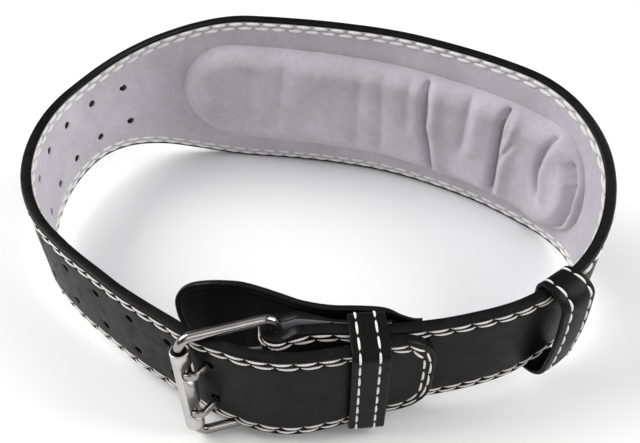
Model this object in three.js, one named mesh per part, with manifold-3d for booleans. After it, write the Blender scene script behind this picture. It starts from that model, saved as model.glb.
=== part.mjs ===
// Lifting belt, buckled and standing on its lower edge, in millimetres with +Z up.
// The leather runs as one strap from the fold round the buckle's heel bar, round the waist
// and back under the roller to the rounded tongue. Every piece that follows the leather is
// made flat, along its length, height and thickness, and is then laid on the strap's route.
import * as THREE from 'three';
import { mergeVertices } from 'three/addons/utils/BufferGeometryUtils.js';
import Module from 'manifold-3d';

const wasm = await Module();
wasm.setup();

// Sizes of the ring seen from above, to the middle of the leather
const ring_width = 285.6;
const ring_depth = 193.7;

// Sizes of the leather
const back_width = 101.6;
const strap_width = 54.2;
const leather_thickness = 5.1;
const back_length = 157;
const left_taper = 112;
const right_taper = 119;
const tongue_corner = 17;
const lay_gap = 0.3;
const strap_step = 8.5;
const least_step = 0.4;

// Sizes of the holes
const hole_diameter = 4.4;
const hole_pitch = 22.1;
const hole_row_spacing = 24.6;
const hole_pairs = 12;
const prong_clearance = 0.45;

// Sizes of the lining and the pad
const lining_thickness = 0.9;
const lining_margin = 1.2;
const pad_length = 259;
const pad_height = 67;
const pad_thickness = 8.5;
const pad_drop = 2.8;
const pad_offset = 7.3;
const pad_rim = 2.4;

// Sizes of the folded buckle end
const turnback_length = 47;
const turnback_thickness = 1.7;
const skived_length = 24;
const fold_fit = 0.35;
const heel_lead = 13;
const heel_sink = 2.5;
const fold_spread = 11;
const fold_inset = 3.2;
const fold_inset_run = 9;
const tongue_bow = 5.9;
const tongue_bow_lean = 3.4;
const inlet_bow = 7.6;

// Sizes of the buckle
const wire_diameter = 4.4;
const buckle_reach = 40.9;
const buckle_side_gap = 0.9;
const buckle_corner = 6;
const buckle_lean = 8.5;
const frame_seam = 0.4;
const roller_diameter = 8.4;
const roller_wall = 0.9;
const roller_notch = 8.4;
const prong_width = 3.6;
const prong_thickness = 2.1;
const prong_tip_past = 0.4;
const prong_lift = 0.95;

// Sizes of the keepers and the guard
const keeper_length = 16;
const keeper_across = 0.168;
const keeper_wall = 2.1;
const keeper_headroom = 1;
const fixed_keeper_slack = 0.4;
const sliding_keeper_length = 18;
const sliding_keeper_room = 13.6;
const sliding_keeper_skew = 5;
const guard_thickness = 3;
const guard_width = 53;
const guard_corner = 24;
const guard_spring = 19;
const guard_ease = 2.5;
const guard_skive = 0.55;
const guard_step = 6;

// Places on the ring, as shares of half its width and depth
const back_place = { across: 0.304, deep: 0.851 };
const sliding_keeper_place = { across: 0.803, deep: -0.691 };

// Places along a piece, as shares of the size that each is multiplied by
const bow_middle_share = 0.62;
const bow_spread_share = 0.45;
const settle_run_share = 0.45;
const prong_crossing_share = 0.7;
const prong_knee_run_share = 1.5;
const prong_knee_lift_share = 0.9;
const notch_share = 0.36;
const lining_start_share = 1.5;
const lining_tip_share = 0.55;
const pad_crown_share = 0.5;
const skive_start_share = 1.3;
const skive_run_share = 0.9;

const half_width = ring_width / 2;
const half_depth = ring_depth / 2;
const mid_height = back_width / 2;
const half_leather = leather_thickness / 2;
const wire_radius = wire_diameter / 2;
const fold_radius = wire_radius + fold_fit + half_leather;
const tongue_lap = leather_thickness + lay_gap;
const keeper_x = keeper_across * half_width;
const roller_radius = roller_diameter / 2;
const lean_angle = THREE.MathUtils.degToRad(buckle_lean);
const lean_slope = Math.tan(lean_angle);

// The middle of the strap from above, as shares of half the ring's width and depth
const front_rows = [
  { across: 0.0035, deep: -1.0248 },
  { across: 0.0595, deep: -1.0114 },
  { across: 0.1155, deep: -1.0041 },
  { across: 0.1716, deep: -0.9969 },
  { across: 0.2416, deep: -0.9897 },
  { across: 0.3326, deep: -0.9742 },
  { across: 0.4377, deep: -0.9463 },
];
const waist_rows = [
  { across: 0.621, deep: -0.865 },
  { across: 0.766, deep: -0.738 },
  { across: 0.88, deep: -0.572 },
  { across: 0.961, deep: -0.368 },
  { across: 0.998, deep: -0.148 },
  { across: 0.989, deep: 0.047 },
  { across: 0.931, deep: 0.247 },
  { across: 0.842, deep: 0.407 },
  { across: 0.716, deep: 0.554 },
  { across: 0.546, deep: 0.698 },
  { across: 0.341, deep: 0.832 },
  { across: 0.125, deep: 0.917 },
  { across: -0.096, deep: 0.971 },
  { across: -0.319, deep: 1.0 },
  { across: -0.515, deep: 0.993 },
  { across: -0.666, deep: 0.955 },
  { across: -0.803, deep: 0.852 },
  { across: -0.906, deep: 0.685 },
  { across: -0.975, deep: 0.46 },
  { across: -1.0, deep: 0.195 },
  { across: -0.977, deep: -0.07 },
  { across: -0.903, deep: -0.315 },
  { across: -0.784, deep: -0.517 },
  { across: -0.647, deep: -0.693 },
  { across: -0.5644, deep: -0.7925 },
];

// The stretch that comes in under the roller, measured from the fold: behind the heel bar as a
// share of the buckle's reach, and outwards of the fold as a share of the inlet's bow
const inlet_rows = [
  { behind: 1.064, out: -1.08 },
  { behind: 0.785, out: -0.12 },
  { behind: 0.543, out: 0.45 },
  { behind: 0.347, out: 0.89 },
  { behind: 0.164, out: 1.14 },
];

// The tongue over the folded end: its place across the ring, and how far it bows off the leather
// under it as a share of the bow
const tongue_rows = [
  { across: -0.0805, bow: 0.74 },
  { across: -0.0245, bow: 0.98 },
  { across: 0.0315, bow: 1.0 },
  { across: 0.0875, bow: 0.86 },
  { across: 0.165, bow: 0.46 },
  { across: 0.21, bow: 0.2 },
  { across: 0.2626, bow: 0.04 },
  { across: 0.33, bow: 0 },
  { across: 0.373, bow: 0 },
];

// The guard's middle from above, left of the keeper: shares of half the ring's width, and how far
// it springs inwards off the leather as a share of the spring
const guard_rows = [
  { across: -0.432, spring: 1.0 },
  { across: -0.319, spring: 0.745 },
  { across: -0.211, spring: 0.666 },
  { across: -0.144, spring: 0.507 },
  { across: -0.0875, spring: 0.337 },
  { across: -0.0245, spring: 0.14 },
];

// The guard behind the keeper: its place as a share of the keeper's length from its middle, and
// how far it eases off the keeper's back as a share of the ease
const guard_back_rows = [
  { place: -0.9, ease: 1.5 },
  { place: -0.16, ease: 1.0 },
  { place: 0.55, ease: 0.25 },
];

// The guard's sewn end: its place as before, and how far it still lifts off the leather, as a
// share of what it clears at the keeper
const guard_end_rows = [
  { place: 0.9, lift: 0.52 },
  { place: 1.25, lift: 0.06 },
  { place: 1.45, lift: 0 },
];

// The pad's folds: where each meets the top and the foot of the pad as shares of its half length,
// how deep it is as a share of the pad's thickness, its half width as a share of the pad's height,
// and how far down it runs from the top, as a share of the height
const pad_folds = [
  { top: 0.69, foot: 0.55, depth: 0.36, breadth: 0.075, from: 0, to: 1 },
  { top: 0.42, foot: 0.31, depth: 0.24, breadth: 0.06, from: 0, to: 0.75 },
  { top: 0.16, foot: 0.18, depth: 0.36, breadth: 0.075, from: 0, to: 1 },
  { top: 0.86, foot: 0.79, depth: 0.3, breadth: 0.075, from: 0.15, to: 1 },
  { top: -0.02, foot: 0.03, depth: 0.14, breadth: 0.09, from: 0.1, to: 1 },
  { top: -0.38, foot: -0.42, depth: 0.1, breadth: 0.1, from: 0, to: 0.8 },
];

// Colour, roughness and metalness of each material, and its weight for its volume
const finishes = {
  leather: { look: { color: 0x1a1a1b, roughness: 0.45, metalness: 0 }, heft: 1 },
  suede: { look: { color: 0xa9a6ad, roughness: 0.95, metalness: 0 }, heft: 0.3 },
  steel: { look: { color: 0xb9b8b6, roughness: 0.25, metalness: 1 }, heft: 7.8 },
};

const clamp = THREE.MathUtils.clamp;
const smooth = (share) => THREE.MathUtils.smoothstep(share, 0, 1);

// Boolean helpers on closed meshes

function solidOf(geometry) {
  const bare = geometry.index ? geometry.toNonIndexed() : geometry.clone();
  for (const name of Object.keys(bare.attributes)) {
    if (name !== 'position') bare.deleteAttribute(name);
  }
  const merged = mergeVertices(bare, 1e-4);
  const vertProperties = new Float32Array(merged.attributes.position.array);
  const triVerts = new Uint32Array(merged.index.array);
  return new wasm.Manifold(new wasm.Mesh({ numProp: 3, vertProperties, triVerts }));
}

function geometryOf(solid) {
  const mesh = solid.getMesh();
  const geometry = new THREE.BufferGeometry();
  geometry.setAttribute('position', new THREE.BufferAttribute(mesh.vertProperties, 3));
  geometry.setIndex(new THREE.BufferAttribute(mesh.triVerts, 1));
  return geometry;
}

function bend(geometry, place) {
  const position = geometry.attributes.position;
  const point = new THREE.Vector3();
  for (let index = 0; index < position.count; index += 1) {
    point.fromBufferAttribute(position, index);
    const moved = place(point);
    position.setXYZ(index, moved.x, moved.y, moved.z);
  }
  return geometry;
}

// A route seen from above, read by the distance along it

function routeThrough(points) {
  const lengths = [0];
  for (let index = 1; index < points.length; index += 1) {
    lengths.push(lengths[index - 1] + points[index].distanceTo(points[index - 1]));
  }
  const length = lengths[lengths.length - 1];
  const spot = (distance) => {
    const along = clamp(distance, 0, length);
    let low = 0;
    let high = lengths.length - 1;
    while (high - low > 1) {
      const middle = (low + high) >> 1;
      if (lengths[middle] <= along) low = middle;
      else high = middle;
    }
    const share = (along - lengths[low]) / (lengths[high] - lengths[low]);
    return points[low].clone().lerp(points[high], share);
  };
  const outward = (distance) => {
    const reach = 0.6;
    const back = spot(distance - reach);
    const ahead = spot(distance + reach);
    const heading = ahead.sub(back).normalize();
    return new THREE.Vector2(heading.y, -heading.x);
  };
  const nearest = (target) => {
    let best = 0;
    points.forEach((point, index) => {
      if (point.distanceTo(target) < points[best].distanceTo(target)) best = index;
    });
    return lengths[best];
  };
  return { length, spot, outward, nearest };
}

function smoothPoints(points, count) {
  const flat = points.map((point) => new THREE.Vector3(point.x, point.y, 0));
  const curve = new THREE.CatmullRomCurve3(flat, false, 'centripetal');
  return curve.getPoints(count).map((point) => new THREE.Vector2(point.x, point.y));
}

// The strap's route

const front_points = front_rows.map(
  (row) => new THREE.Vector2(row.across * half_width, row.deep * half_depth),
);

// The heel bar lies left of the front strap's first point, with the fold round it
const fold_face = new THREE.Vector2(
  front_points[0].x - heel_lead,
  front_points[0].y - heel_sink,
);
const heel = new THREE.Vector2(fold_face.x, fold_face.y + fold_radius);
const spread_angle = THREE.MathUtils.degToRad(fold_spread);
const fold_ends = [1, -1].map((side) => new THREE.Vector2(
  heel.x + fold_radius * Math.sin(spread_angle),
  heel.y + side * fold_radius * Math.cos(spread_angle),
));
const front_line = smoothPoints([fold_ends[1], ...front_points], 400);

// The front strap's depth at a place across the ring
function frontLine(x) {
  let best = front_line[0];
  for (const point of front_line) {
    if (Math.abs(point.x - x) < Math.abs(best.x - x)) best = point;
  }
  return best.y;
}

// The turned-back layer is skived thin, from a distance past the heel bar
function turnbackThickness(from_heel) {
  return THREE.MathUtils.lerp(
    leather_thickness, turnback_thickness, smooth(from_heel / skived_length),
  );
}

function turnbackPoints() {
  const marks = [turnback_length, (turnback_length + skived_length) / 2, skived_length];
  const laid = marks.map((mark) => new THREE.Vector2(
    heel.x + mark,
    frontLine(heel.x + mark) + half_leather + lay_gap + turnback_thickness / 2,
  ));
  const settle = new THREE.Vector2(
    heel.x + skived_length * settle_run_share,
    (fold_ends[0].y + laid[2].y) / 2,
  );
  return smoothPoints([...laid, settle, fold_ends[0]], 60);
}

function foldPoints() {
  const arc = new THREE.EllipseCurve(
    heel.x, heel.y, fold_radius, fold_radius,
    Math.PI / 2 - spread_angle, (3 * Math.PI) / 2 + spread_angle, false, 0,
  );
  return arc.getPoints(28);
}

function loopPoints() {
  const waist = waist_rows.map(
    (row) => new THREE.Vector2(row.across * half_width, row.deep * half_depth),
  );
  const inlet = inlet_rows.map((row) => new THREE.Vector2(
    heel.x - row.behind * buckle_reach,
    fold_face.y - row.out * inlet_bow,
  ));
  const tongue = tongue_rows.map((row) => {
    const x = row.across * half_width;
    return new THREE.Vector2(x, frontLine(x) - tongue_lap - row.bow * tongue_bow);
  });
  return smoothPoints([fold_ends[1], ...front_points, ...waist, ...inlet, ...tongue], 2600);
}

const turnback_points = turnbackPoints();
const fold_points = foldPoints();
const loop_points = loopPoints();
const strap_route = routeThrough([
  ...turnback_points,
  ...fold_points.slice(1),
  ...loop_points.slice(1),
]);
const turnback_run = routeThrough(turnback_points).length;
const fold_run = turnback_run + routeThrough(fold_points).length;
const strap_end = strap_route.length;

const back_middle = strap_route.nearest(
  new THREE.Vector2(back_place.across * half_width, back_place.deep * half_depth),
);
const tongue_start = strap_route.nearest(
  new THREE.Vector2(heel.x - buckle_reach * 1.1, heel.y - fold_radius),
);
const tongue_length = strap_end - tongue_start;

// The buckle swings about its heel bar until the roller's upper end lies on the leather
const to_roller = swingOfBuckle();
const leaning = inwardFrom(to_roller);

// The unit normal of a direction seen from above, on the side of the ring's inside
function inwardFrom(direction) {
  const normal = new THREE.Vector2(direction.y, -direction.x);
  return normal.y > 0 ? normal : normal.negate();
}

function swingOfBuckle() {
  const inlet = closeMarks(tongue_start - buckle_reach, tongue_start + buckle_reach, 200)
    .map((along) => strap_route.spot(along));
  const clear = half_leather + roller_radius + lay_gap;
  const reach = new THREE.Vector2();
  let least = THREE.MathUtils.degToRad(150);
  let most = THREE.MathUtils.degToRad(250);
  for (let turn = 0; turn < 30; turn += 1) {
    const middle = (least + most) / 2;
    reach.set(Math.cos(middle), Math.sin(middle));
    const top = heel.clone()
      .addScaledVector(reach, buckle_reach)
      .addScaledVector(inwardFrom(reach), (lean_slope * strap_width) / 2);
    const nearest = inlet.reduce((a, b) => (a.distanceTo(top) < b.distanceTo(top) ? a : b));
    const lies_clear = top.y < nearest.y && nearest.distanceTo(top) > clear;
    if (lies_clear) most = middle;
    else least = middle;
  }
  return reach.set(Math.cos(most), Math.sin(most));
}

function distanceFromFold(along) {
  return Math.max(turnback_run - along, along - fold_run, 0);
}

// How far the leather leans off upright, per millimetre of height, at a distance along it
function leanAt(along) {
  const eased = 1 - smooth(distanceFromFold(along) / turnback_length);
  if (along <= tongue_start) return lean_slope * eased;
  const bow_middle = strap_end - bow_middle_share * tongue_length;
  const off_bow = Math.abs(along - bow_middle) / (bow_spread_share * tongue_length);
  return lean_slope * eased + ((1 - smooth(off_bow)) * tongue_bow_lean) / strap_width;
}

// Half the leather's height at a distance along it
function halfHeight(along) {
  const from_middle = along - back_middle;
  const taper = from_middle > 0 ? left_taper : right_taper;
  const narrowing = smooth((Math.abs(from_middle) - back_length / 2) / taper);
  const inset = fold_inset * (1 - smooth(distanceFromFold(along) / fold_inset_run));
  return THREE.MathUtils.lerp(back_width / 2, strap_width / 2, narrowing) - inset;
}

// Rounds off the end of a strip of the given half height
function roundedEnd(distance_to_end, half, corner) {
  const depth = Math.min(corner, half);
  if (distance_to_end >= depth) return half;
  const into = depth - Math.max(distance_to_end, 0);
  return half - depth + Math.sqrt(Math.max(depth * depth - into * into, 0));
}

function onRoute(route, along, out, height, lean) {
  const point = route.spot(along).addScaledVector(route.outward(along), out);
  point.addScaledVector(leaning, lean * (height - mid_height));
  return new THREE.Vector3(point.x, point.y, height);
}

function onStrap(along, out, height) {
  return onRoute(strap_route, along, out, height, leanAt(along));
}

// Distances along a strip: even steps, with closer ones in a bend or rounding
function stepsBetween(from, to, step, close = []) {
  const marks = new Set([from, to]);
  const count = Math.max(2, Math.ceil((to - from) / step));
  for (let index = 1; index < count; index += 1) marks.add(from + ((to - from) * index) / count);
  for (const mark of close) {
    if (mark > from && mark < to) marks.add(mark);
  }
  const sorted = [...marks].sort((a, b) => a - b);
  return sorted.filter((mark, index) => index === 0 || mark === to
    || (mark - sorted[index - 1] > least_step && to - mark > least_step));
}

function closeMarks(start, end, count) {
  return Array.from({ length: count + 1 }, (_, index) => start + ((end - start) * index) / count);
}

function roundMarks(end, depth, count, side) {
  return Array.from({ length: count }, (_, index) => {
    const angle = (index / count) * (Math.PI / 2);
    return end + side * depth * (1 - Math.sin(angle));
  });
}

// A closed strip in shape(along) = { low, high, inner, outer }, laid by place(along, out, height)
function strip(marks, rows, shape, place) {
  const box = new THREE.BoxGeometry(1, 1, 1, marks.length - 1, rows, 1);
  return bend(box, (point) => {
    const column = Math.round((point.x + 0.5) * (marks.length - 1));
    const along = marks[column];
    const rise = point.y + 0.5;
    const section = shape(along, rise);
    const height = THREE.MathUtils.lerp(section.low, section.high, rise);
    const out = point.z > 0 ? section.outer : section.inner;
    return place(along, out, height);
  });
}

// Buckle coordinates: reach from the heel bar to the roller, outwards, and up the leaning bars

const buckle_axes = {
  reach: new THREE.Vector3(to_roller.x, to_roller.y, 0),
  up: new THREE.Vector3(leaning.x, leaning.y, 0)
    .multiplyScalar(Math.sin(lean_angle))
    .setZ(Math.cos(lean_angle)),
};
buckle_axes.out = new THREE.Vector3().crossVectors(buckle_axes.reach, buckle_axes.up).normalize();
if (buckle_axes.out.y > 0) buckle_axes.out.negate();

function onBuckle(reach, out, up) {
  return new THREE.Vector3(heel.x, heel.y, mid_height)
    .addScaledVector(buckle_axes.reach, reach)
    .addScaledVector(buckle_axes.out, out)
    .addScaledVector(buckle_axes.up, up);
}

function fromPlan(point) {
  const offset = point.clone().sub(heel);
  return new THREE.Vector2(offset.dot(to_roller), -offset.dot(leaning));
}

// Lays a geometry made in x = reach, y = out, z = up on the buckle
function placeOnBuckle(geometry) {
  return bend(geometry, (point) => onBuckle(point.x, point.y, point.z));
}

// Turns a closed geometry's faces outwards where laying it in place has turned them in
function outwardFaces(geometry) {
  const solid = solidOf(geometry);
  if (solid.volume() > 0) return geometry;
  const index = geometry.index;
  for (let corner = 0; corner < index.count; corner += 3) {
    const first = index.getX(corner);
    index.setX(corner, index.getX(corner + 2));
    index.setX(corner + 2, first);
  }
  return geometry;
}

// Buckle frame: one bent wire with its two ends meeting inside the leather fold

class WireCurve extends THREE.Curve {
  constructor(points) {
    super();
    this.points = points;
  }

  getPoint(share, target = new THREE.Vector3()) {
    const place = share * (this.points.length - 1);
    const low = Math.min(Math.floor(place), this.points.length - 2);
    return target.lerpVectors(this.points[low], this.points[low + 1], place - low);
  }

  getPointAt(share, target) {
    return this.getPoint(share, target);
  }

  getSpacedPoints() {
    return this.points.map((point) => point.clone());
  }

  getTangentAt(share, target = new THREE.Vector3()) {
    const step = 0.5 / (this.points.length - 1);
    const back = this.getPoint(Math.max(share - step, 0));
    const ahead = this.getPoint(Math.min(share + step, 1));
    return target.copy(ahead).sub(back).normalize();
  }
}

const frame_half = strap_width / 2 + buckle_side_gap + wire_radius;

function framePoints() {
  const points = [new THREE.Vector3(0, 0, frame_seam / 2)];
  const corners = [
    { reach: 0, up: 1, start: Math.PI },
    { reach: 1, up: 1, start: Math.PI / 2 },
    { reach: 1, up: -1, start: 0 },
    { reach: 0, up: -1, start: -Math.PI / 2 },
  ];
  const turns = 5;
  const radius = buckle_corner;
  for (const corner of corners) {
    const centre_reach = corner.reach ? buckle_reach - radius : radius;
    const centre_up = corner.up * (frame_half - radius);
    for (let turn = 0; turn <= turns; turn += 1) {
      const angle = corner.start - (turn / turns) * (Math.PI / 2);
      points.push(new THREE.Vector3(
        centre_reach + radius * Math.cos(angle),
        0,
        centre_up + radius * Math.sin(angle),
      ));
    }
  }
  points.push(new THREE.Vector3(0, 0, -frame_seam / 2));
  return points;
}

function buckleFrame() {
  const points = framePoints();
  const section = new THREE.Shape();
  const sides = 10;
  for (let side = 0; side < sides; side += 1) {
    const angle = (2 * Math.PI * (side + 0.5)) / sides;
    const x = wire_radius * Math.cos(angle);
    const y = wire_radius * Math.sin(angle);
    if (side === 0) section.moveTo(x, y);
    else section.lineTo(x, y);
  }
  const wire = new THREE.ExtrudeGeometry(section, {
    steps: points.length - 1,
    extrudePath: new WireCurve(points),
  });
  return placeOnBuckle(wire);
}

// Prong: a flat bar curled round the heel bar, through the leather and onto the roller bar

const prong_route = prongRoute();

function prongRoute() {
  const crossing = closeMarks(strap_end, tongue_start, 300)
    .find((along) => fromPlan(strap_route.spot(along)).x >= prong_crossing_share * buckle_reach);
  const middle = fromPlan(strap_route.spot(crossing));
  const outward = strap_route.outward(crossing);
  const normal = new THREE.Vector2(outward.dot(to_roller), -outward.dot(leaning));
  const rest = wire_radius + lay_gap + prong_thickness / 2;
  const points = [
    new THREE.Vector2(wire_radius + lay_gap + prong_thickness / 2, 0),
    middle.clone().addScaledVector(normal, -half_leather - prong_lift),
    middle.clone().addScaledVector(normal, half_leather + prong_lift),
    new THREE.Vector2(
      buckle_reach - wire_radius * prong_knee_run_share,
      rest + prong_thickness * prong_knee_lift_share,
    ),
    new THREE.Vector2(buckle_reach + prong_tip_past, rest),
  ];
  return { crossing, points };
}

// A bar of even thickness along a bent centre line
function barShape(points, thickness) {
  const sides = [[], []];
  points.forEach((point, index) => {
    const before = points[Math.max(index - 1, 0)];
    const after = points[Math.min(index + 1, points.length - 1)];
    const into = point.clone().sub(before).normalize();
    const away = after.clone().sub(point).normalize();
    const heading = into.add(away).normalize();
    const normal = new THREE.Vector2(-heading.y, heading.x);
    sides[0].push(point.clone().addScaledVector(normal, thickness / 2));
    sides[1].unshift(point.clone().addScaledVector(normal, -thickness / 2));
  });
  return new THREE.Shape([...sides[0], ...sides[1]]);
}

function prongSolid(height, grown) {
  const eye_inner = wire_radius + lay_gap;
  const eye_outer = eye_inner + prong_thickness;
  const arm = barShape(prong_route.points, prong_thickness + 2 * grown);
  const eye = new THREE.Shape();
  eye.absarc(0, 0, eye_outer + grown, 0, 2 * Math.PI, false);
  const bore = new THREE.Path();
  bore.absarc(0, 0, eye_inner - Math.min(grown, eye_inner / 2), 0, 2 * Math.PI, true);
  eye.holes.push(bore);
  const width = prong_width + 2 * grown;
  const options = { depth: width, bevelEnabled: false, curveSegments: 8 };
  const shapes = [eye, arm].map((shape) => {
    const flat = new THREE.ExtrudeGeometry(shape, options);
    flat.translate(0, 0, height - width / 2);
    return solidOf(outwardFaces(placeOnBuckle(indexed(flat))));
  });
  return shapes[0].add(shapes[1]);
}

function indexed(geometry) {
  const bare = geometry.clone();
  bare.deleteAttribute('normal');
  bare.deleteAttribute('uv');
  return mergeVertices(bare, 1e-4);
}

const prong_heights = [hole_row_spacing / 2, -hole_row_spacing / 2];
const prong_cutters = prong_heights.map((height) => prongSolid(height, prong_clearance));

// Roller: a thin tube on the roller bar, with a notch for each prong

function buckleRoller() {
  const half = frame_half - buckle_corner - lay_gap;
  const bore = roller_radius - roller_wall;
  const profile = [
    new THREE.Vector2(bore, -half),
    new THREE.Vector2(roller_radius, -half),
    new THREE.Vector2(roller_radius, half),
    new THREE.Vector2(bore, half),
    new THREE.Vector2(bore, -half),
  ];
  const tube = new THREE.LatheGeometry(profile, 20);
  tube.rotateX(Math.PI / 2);
  tube.translate(buckle_reach, 0, 0);
  let solid = solidOf(outwardFaces(placeOnBuckle(indexed(tube))));
  for (const height of prong_heights) {
    const depth = roller_radius * 1.5;
    const notch = new THREE.CylinderGeometry(roller_notch / 2, roller_notch / 2, depth, 16);
    notch.translate(buckle_reach - roller_notch * notch_share, depth / 2, height);
    solid = solid.subtract(solidOf(outwardFaces(placeOnBuckle(indexed(notch)))));
  }
  return geometryOf(solid);
}

// Strap, lining and pad

const fold_marks = closeMarks(turnback_run, fold_run, 9);
const tongue_marks = roundMarks(strap_end, tongue_corner, 7, -1);
const lining_start = fold_run + keeper_x - heel.x + keeper_length * lining_start_share;
const lining_stop = strap_end - tongue_corner * lining_tip_share;
const strap_marks = stepsBetween(0, strap_end, strap_step, [
  ...fold_marks,
  ...tongue_marks,
  ...closeMarks(turnback_run - skived_length, turnback_run, 4),
  ...closeMarks(fold_run, fold_run + turnback_length, 10),
  lining_start,
  lining_stop,
]);
const lined_marks = strap_marks.filter((mark) => mark >= lining_start && mark <= lining_stop);

function strapShape(along) {
  const half = roundedEnd(strap_end - along, halfHeight(along), tongue_corner);
  const thickness = turnbackThickness(turnback_run - along);
  return {
    low: mid_height - half,
    high: mid_height + half,
    inner: -thickness / 2,
    outer: thickness / 2,
  };
}

// The suede lies in a shallow bed in the leather, set in from the edges and the tongue's tip
function bedShape(margin, inner, outer) {
  return (along) => {
    const half = roundedEnd(strap_end - along, halfHeight(along), tongue_corner) - margin;
    return { low: mid_height - half, high: mid_height + half, inner, outer };
  };
}

function holeCutters() {
  const cutters = [];
  for (let pair = 1; pair < hole_pairs; pair += 1) {
    const along = prong_route.crossing - pair * hole_pitch;
    for (const side of [1, -1]) {
      const height = mid_height + (side * hole_row_spacing) / 2;
      const radius = hole_diameter / 2;
      const punch = new THREE.CylinderGeometry(radius, radius, leather_thickness * 2, 8);
      const centre = onStrap(along, 0, height);
      const outward = strap_route.outward(along);
      const turn = new THREE.Quaternion().setFromUnitVectors(
        new THREE.Vector3(0, 1, 0),
        new THREE.Vector3(outward.x, outward.y, 0),
      );
      punch.applyQuaternion(turn);
      punch.translate(centre.x, centre.y, centre.z);
      cutters.push(solidOf(punch));
    }
  }
  return cutters;
}

const hole_cutters = holeCutters();

function pierced(solid) {
  let result = solid;
  for (const cutter of [...hole_cutters, ...prong_cutters]) result = result.subtract(cutter);
  return result;
}

function beltLeather() {
  const body = solidOf(strip(strap_marks, 1, strapShape, onStrap));
  const bed = bedShape(lining_margin, -half_leather - 1, lining_thickness + lay_gap - half_leather);
  const hollow = solidOf(strip(lined_marks, 1, bed, onStrap));
  return geometryOf(pierced(body.subtract(hollow)));
}

function suedeLining() {
  const edge = lining_margin + lay_gap;
  const sheet = bedShape(edge, -half_leather, lining_thickness - half_leather);
  const marks = [
    lined_marks[0] + lay_gap,
    ...lined_marks.slice(1, -1),
    lined_marks[lined_marks.length - 1] - lay_gap,
  ];
  return geometryOf(pierced(solidOf(strip(marks, 1, sheet, onStrap))));
}

function lumbarPad() {
  const middle = back_middle - pad_offset;
  const half_length = pad_length / 2;
  const half_pad = pad_height / 2;
  const start = middle - half_length;
  const end = middle + half_length;
  const marks = stepsBetween(start, end, strap_step, [
    ...roundMarks(start, half_pad, 7, 1),
    ...roundMarks(end, half_pad, 7, -1),
  ]);
  const height_middle = mid_height - pad_drop;
  const shape = (along, rise) => {
    const from_end = Math.min(along - start, end - along);
    const half = Math.max(roundedEnd(from_end, half_pad, half_pad), pad_rim);
    const across = 2 * rise - 1;
    const from_edge = Math.min(half * (1 - Math.abs(across)), from_end);
    const flat = clamp(from_edge / (half_pad * pad_crown_share), 0, 1);
    const crown = Math.sqrt(1 - (1 - flat) ** 2);
    const sides = THREE.MathUtils.lerp(pad_rim, pad_thickness, crown);
    const length_share = (along - middle) / half_length;
    const depth = foldDepth(length_share, (1 - across) / 2, crown);
    const face = -half_leather - lay_gap;
    return {
      low: height_middle - half,
      high: height_middle + half,
      inner: face - sides + depth * pad_thickness,
      outer: face,
    };
  };
  return strip(marks, 10, shape, onStrap);
}

// How deep the pad's folds press in, as a share of its thickness; the folds are listed from
// the right end, where the shares are positive
function foldDepth(length_share, down, crown) {
  let depth = 0;
  const end_run = 0.12;
  for (const fold of pad_folds) {
    const line = THREE.MathUtils.lerp(fold.top, fold.foot, down);
    const off = (Math.abs(length_share + line) * pad_length) / (2 * fold.breadth * pad_height);
    const begun = smooth((down - fold.from) / end_run + 0.5);
    const left = smooth((fold.to - down) / end_run + 0.5);
    depth = Math.max(depth, fold.depth * begun * left * Math.max(0, 1 - off));
  }
  return depth * crown;
}

// Guard flap behind the buckle

function guardRoute() {
  const off_keeper = half_leather + lay_gap + turnback_thickness + 2 * fixed_keeper_slack
    + keeper_wall + lay_gap + guard_thickness / 2;
  const back = guard_back_rows.map((row) => {
    const x = keeper_x + row.place * keeper_length;
    return new THREE.Vector2(x, frontLine(x) + off_keeper + row.ease * guard_ease);
  });
  const left = guard_rows.map((row) => new THREE.Vector2(
    row.across * half_width,
    back[0].y + row.spring * guard_spring,
  ));
  const off_leather = half_leather + lay_gap + (guard_thickness * guard_skive) / 2;
  const laid = guard_end_rows.map((row) => {
    const x = keeper_x + row.place * keeper_length;
    const off = THREE.MathUtils.lerp(off_leather, off_keeper, row.lift);
    return new THREE.Vector2(x, frontLine(x) + off);
  });
  return routeThrough(smoothPoints([...left, ...back, ...laid], 300));
}

const guard_route = guardRoute();

function buckleGuard() {
  const length = guard_route.length;
  const skive_from = length - keeper_length * skive_start_share;
  const skive_run = keeper_length * skive_run_share;
  const shape = (along) => {
    const skived = THREE.MathUtils.lerp(1, guard_skive, smooth((along - skive_from) / skive_run));
    const half = roundedEnd(along, guard_width / 2, guard_corner);
    const half_thickness = (guard_thickness / 2) * skived;
    return {
      low: mid_height - half,
      high: mid_height + half,
      inner: -half_thickness,
      outer: half_thickness,
    };
  };
  const marks = stepsBetween(0, length, guard_step, roundMarks(0, guard_corner, 7, 1));
  const place = (along, out, height) => onRoute(guard_route, along, out, height, 0);
  return strip(marks, 1, shape, place);
}

// Keepers: a rounded loop of leather, drawn as its section in x = outwards and y = height

function loopShape(near, far, half) {
  const outer = new THREE.Shape();
  const wall = keeper_wall;
  const inner_corner = wall * 0.9;
  roundedRectangle(outer, near - wall, far + wall, half + wall, inner_corner + wall);
  const inner = new THREE.Path();
  roundedRectangle(inner, near, far, half, inner_corner);
  outer.holes.push(inner);
  return outer;
}

function roundedRectangle(path, left, right, half, radius) {
  path.moveTo(left + radius, -half);
  path.lineTo(right - radius, -half);
  path.absarc(right - radius, radius - half, radius, -Math.PI / 2, 0, false);
  path.lineTo(right, half - radius);
  path.absarc(right - radius, half - radius, radius, 0, Math.PI / 2, false);
  path.lineTo(left + radius, half);
  path.absarc(left + radius, half - radius, radius, Math.PI / 2, Math.PI, false);
  path.lineTo(left, radius - half);
  path.absarc(left + radius, radius - half, radius, Math.PI, 1.5 * Math.PI, false);
}

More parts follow.
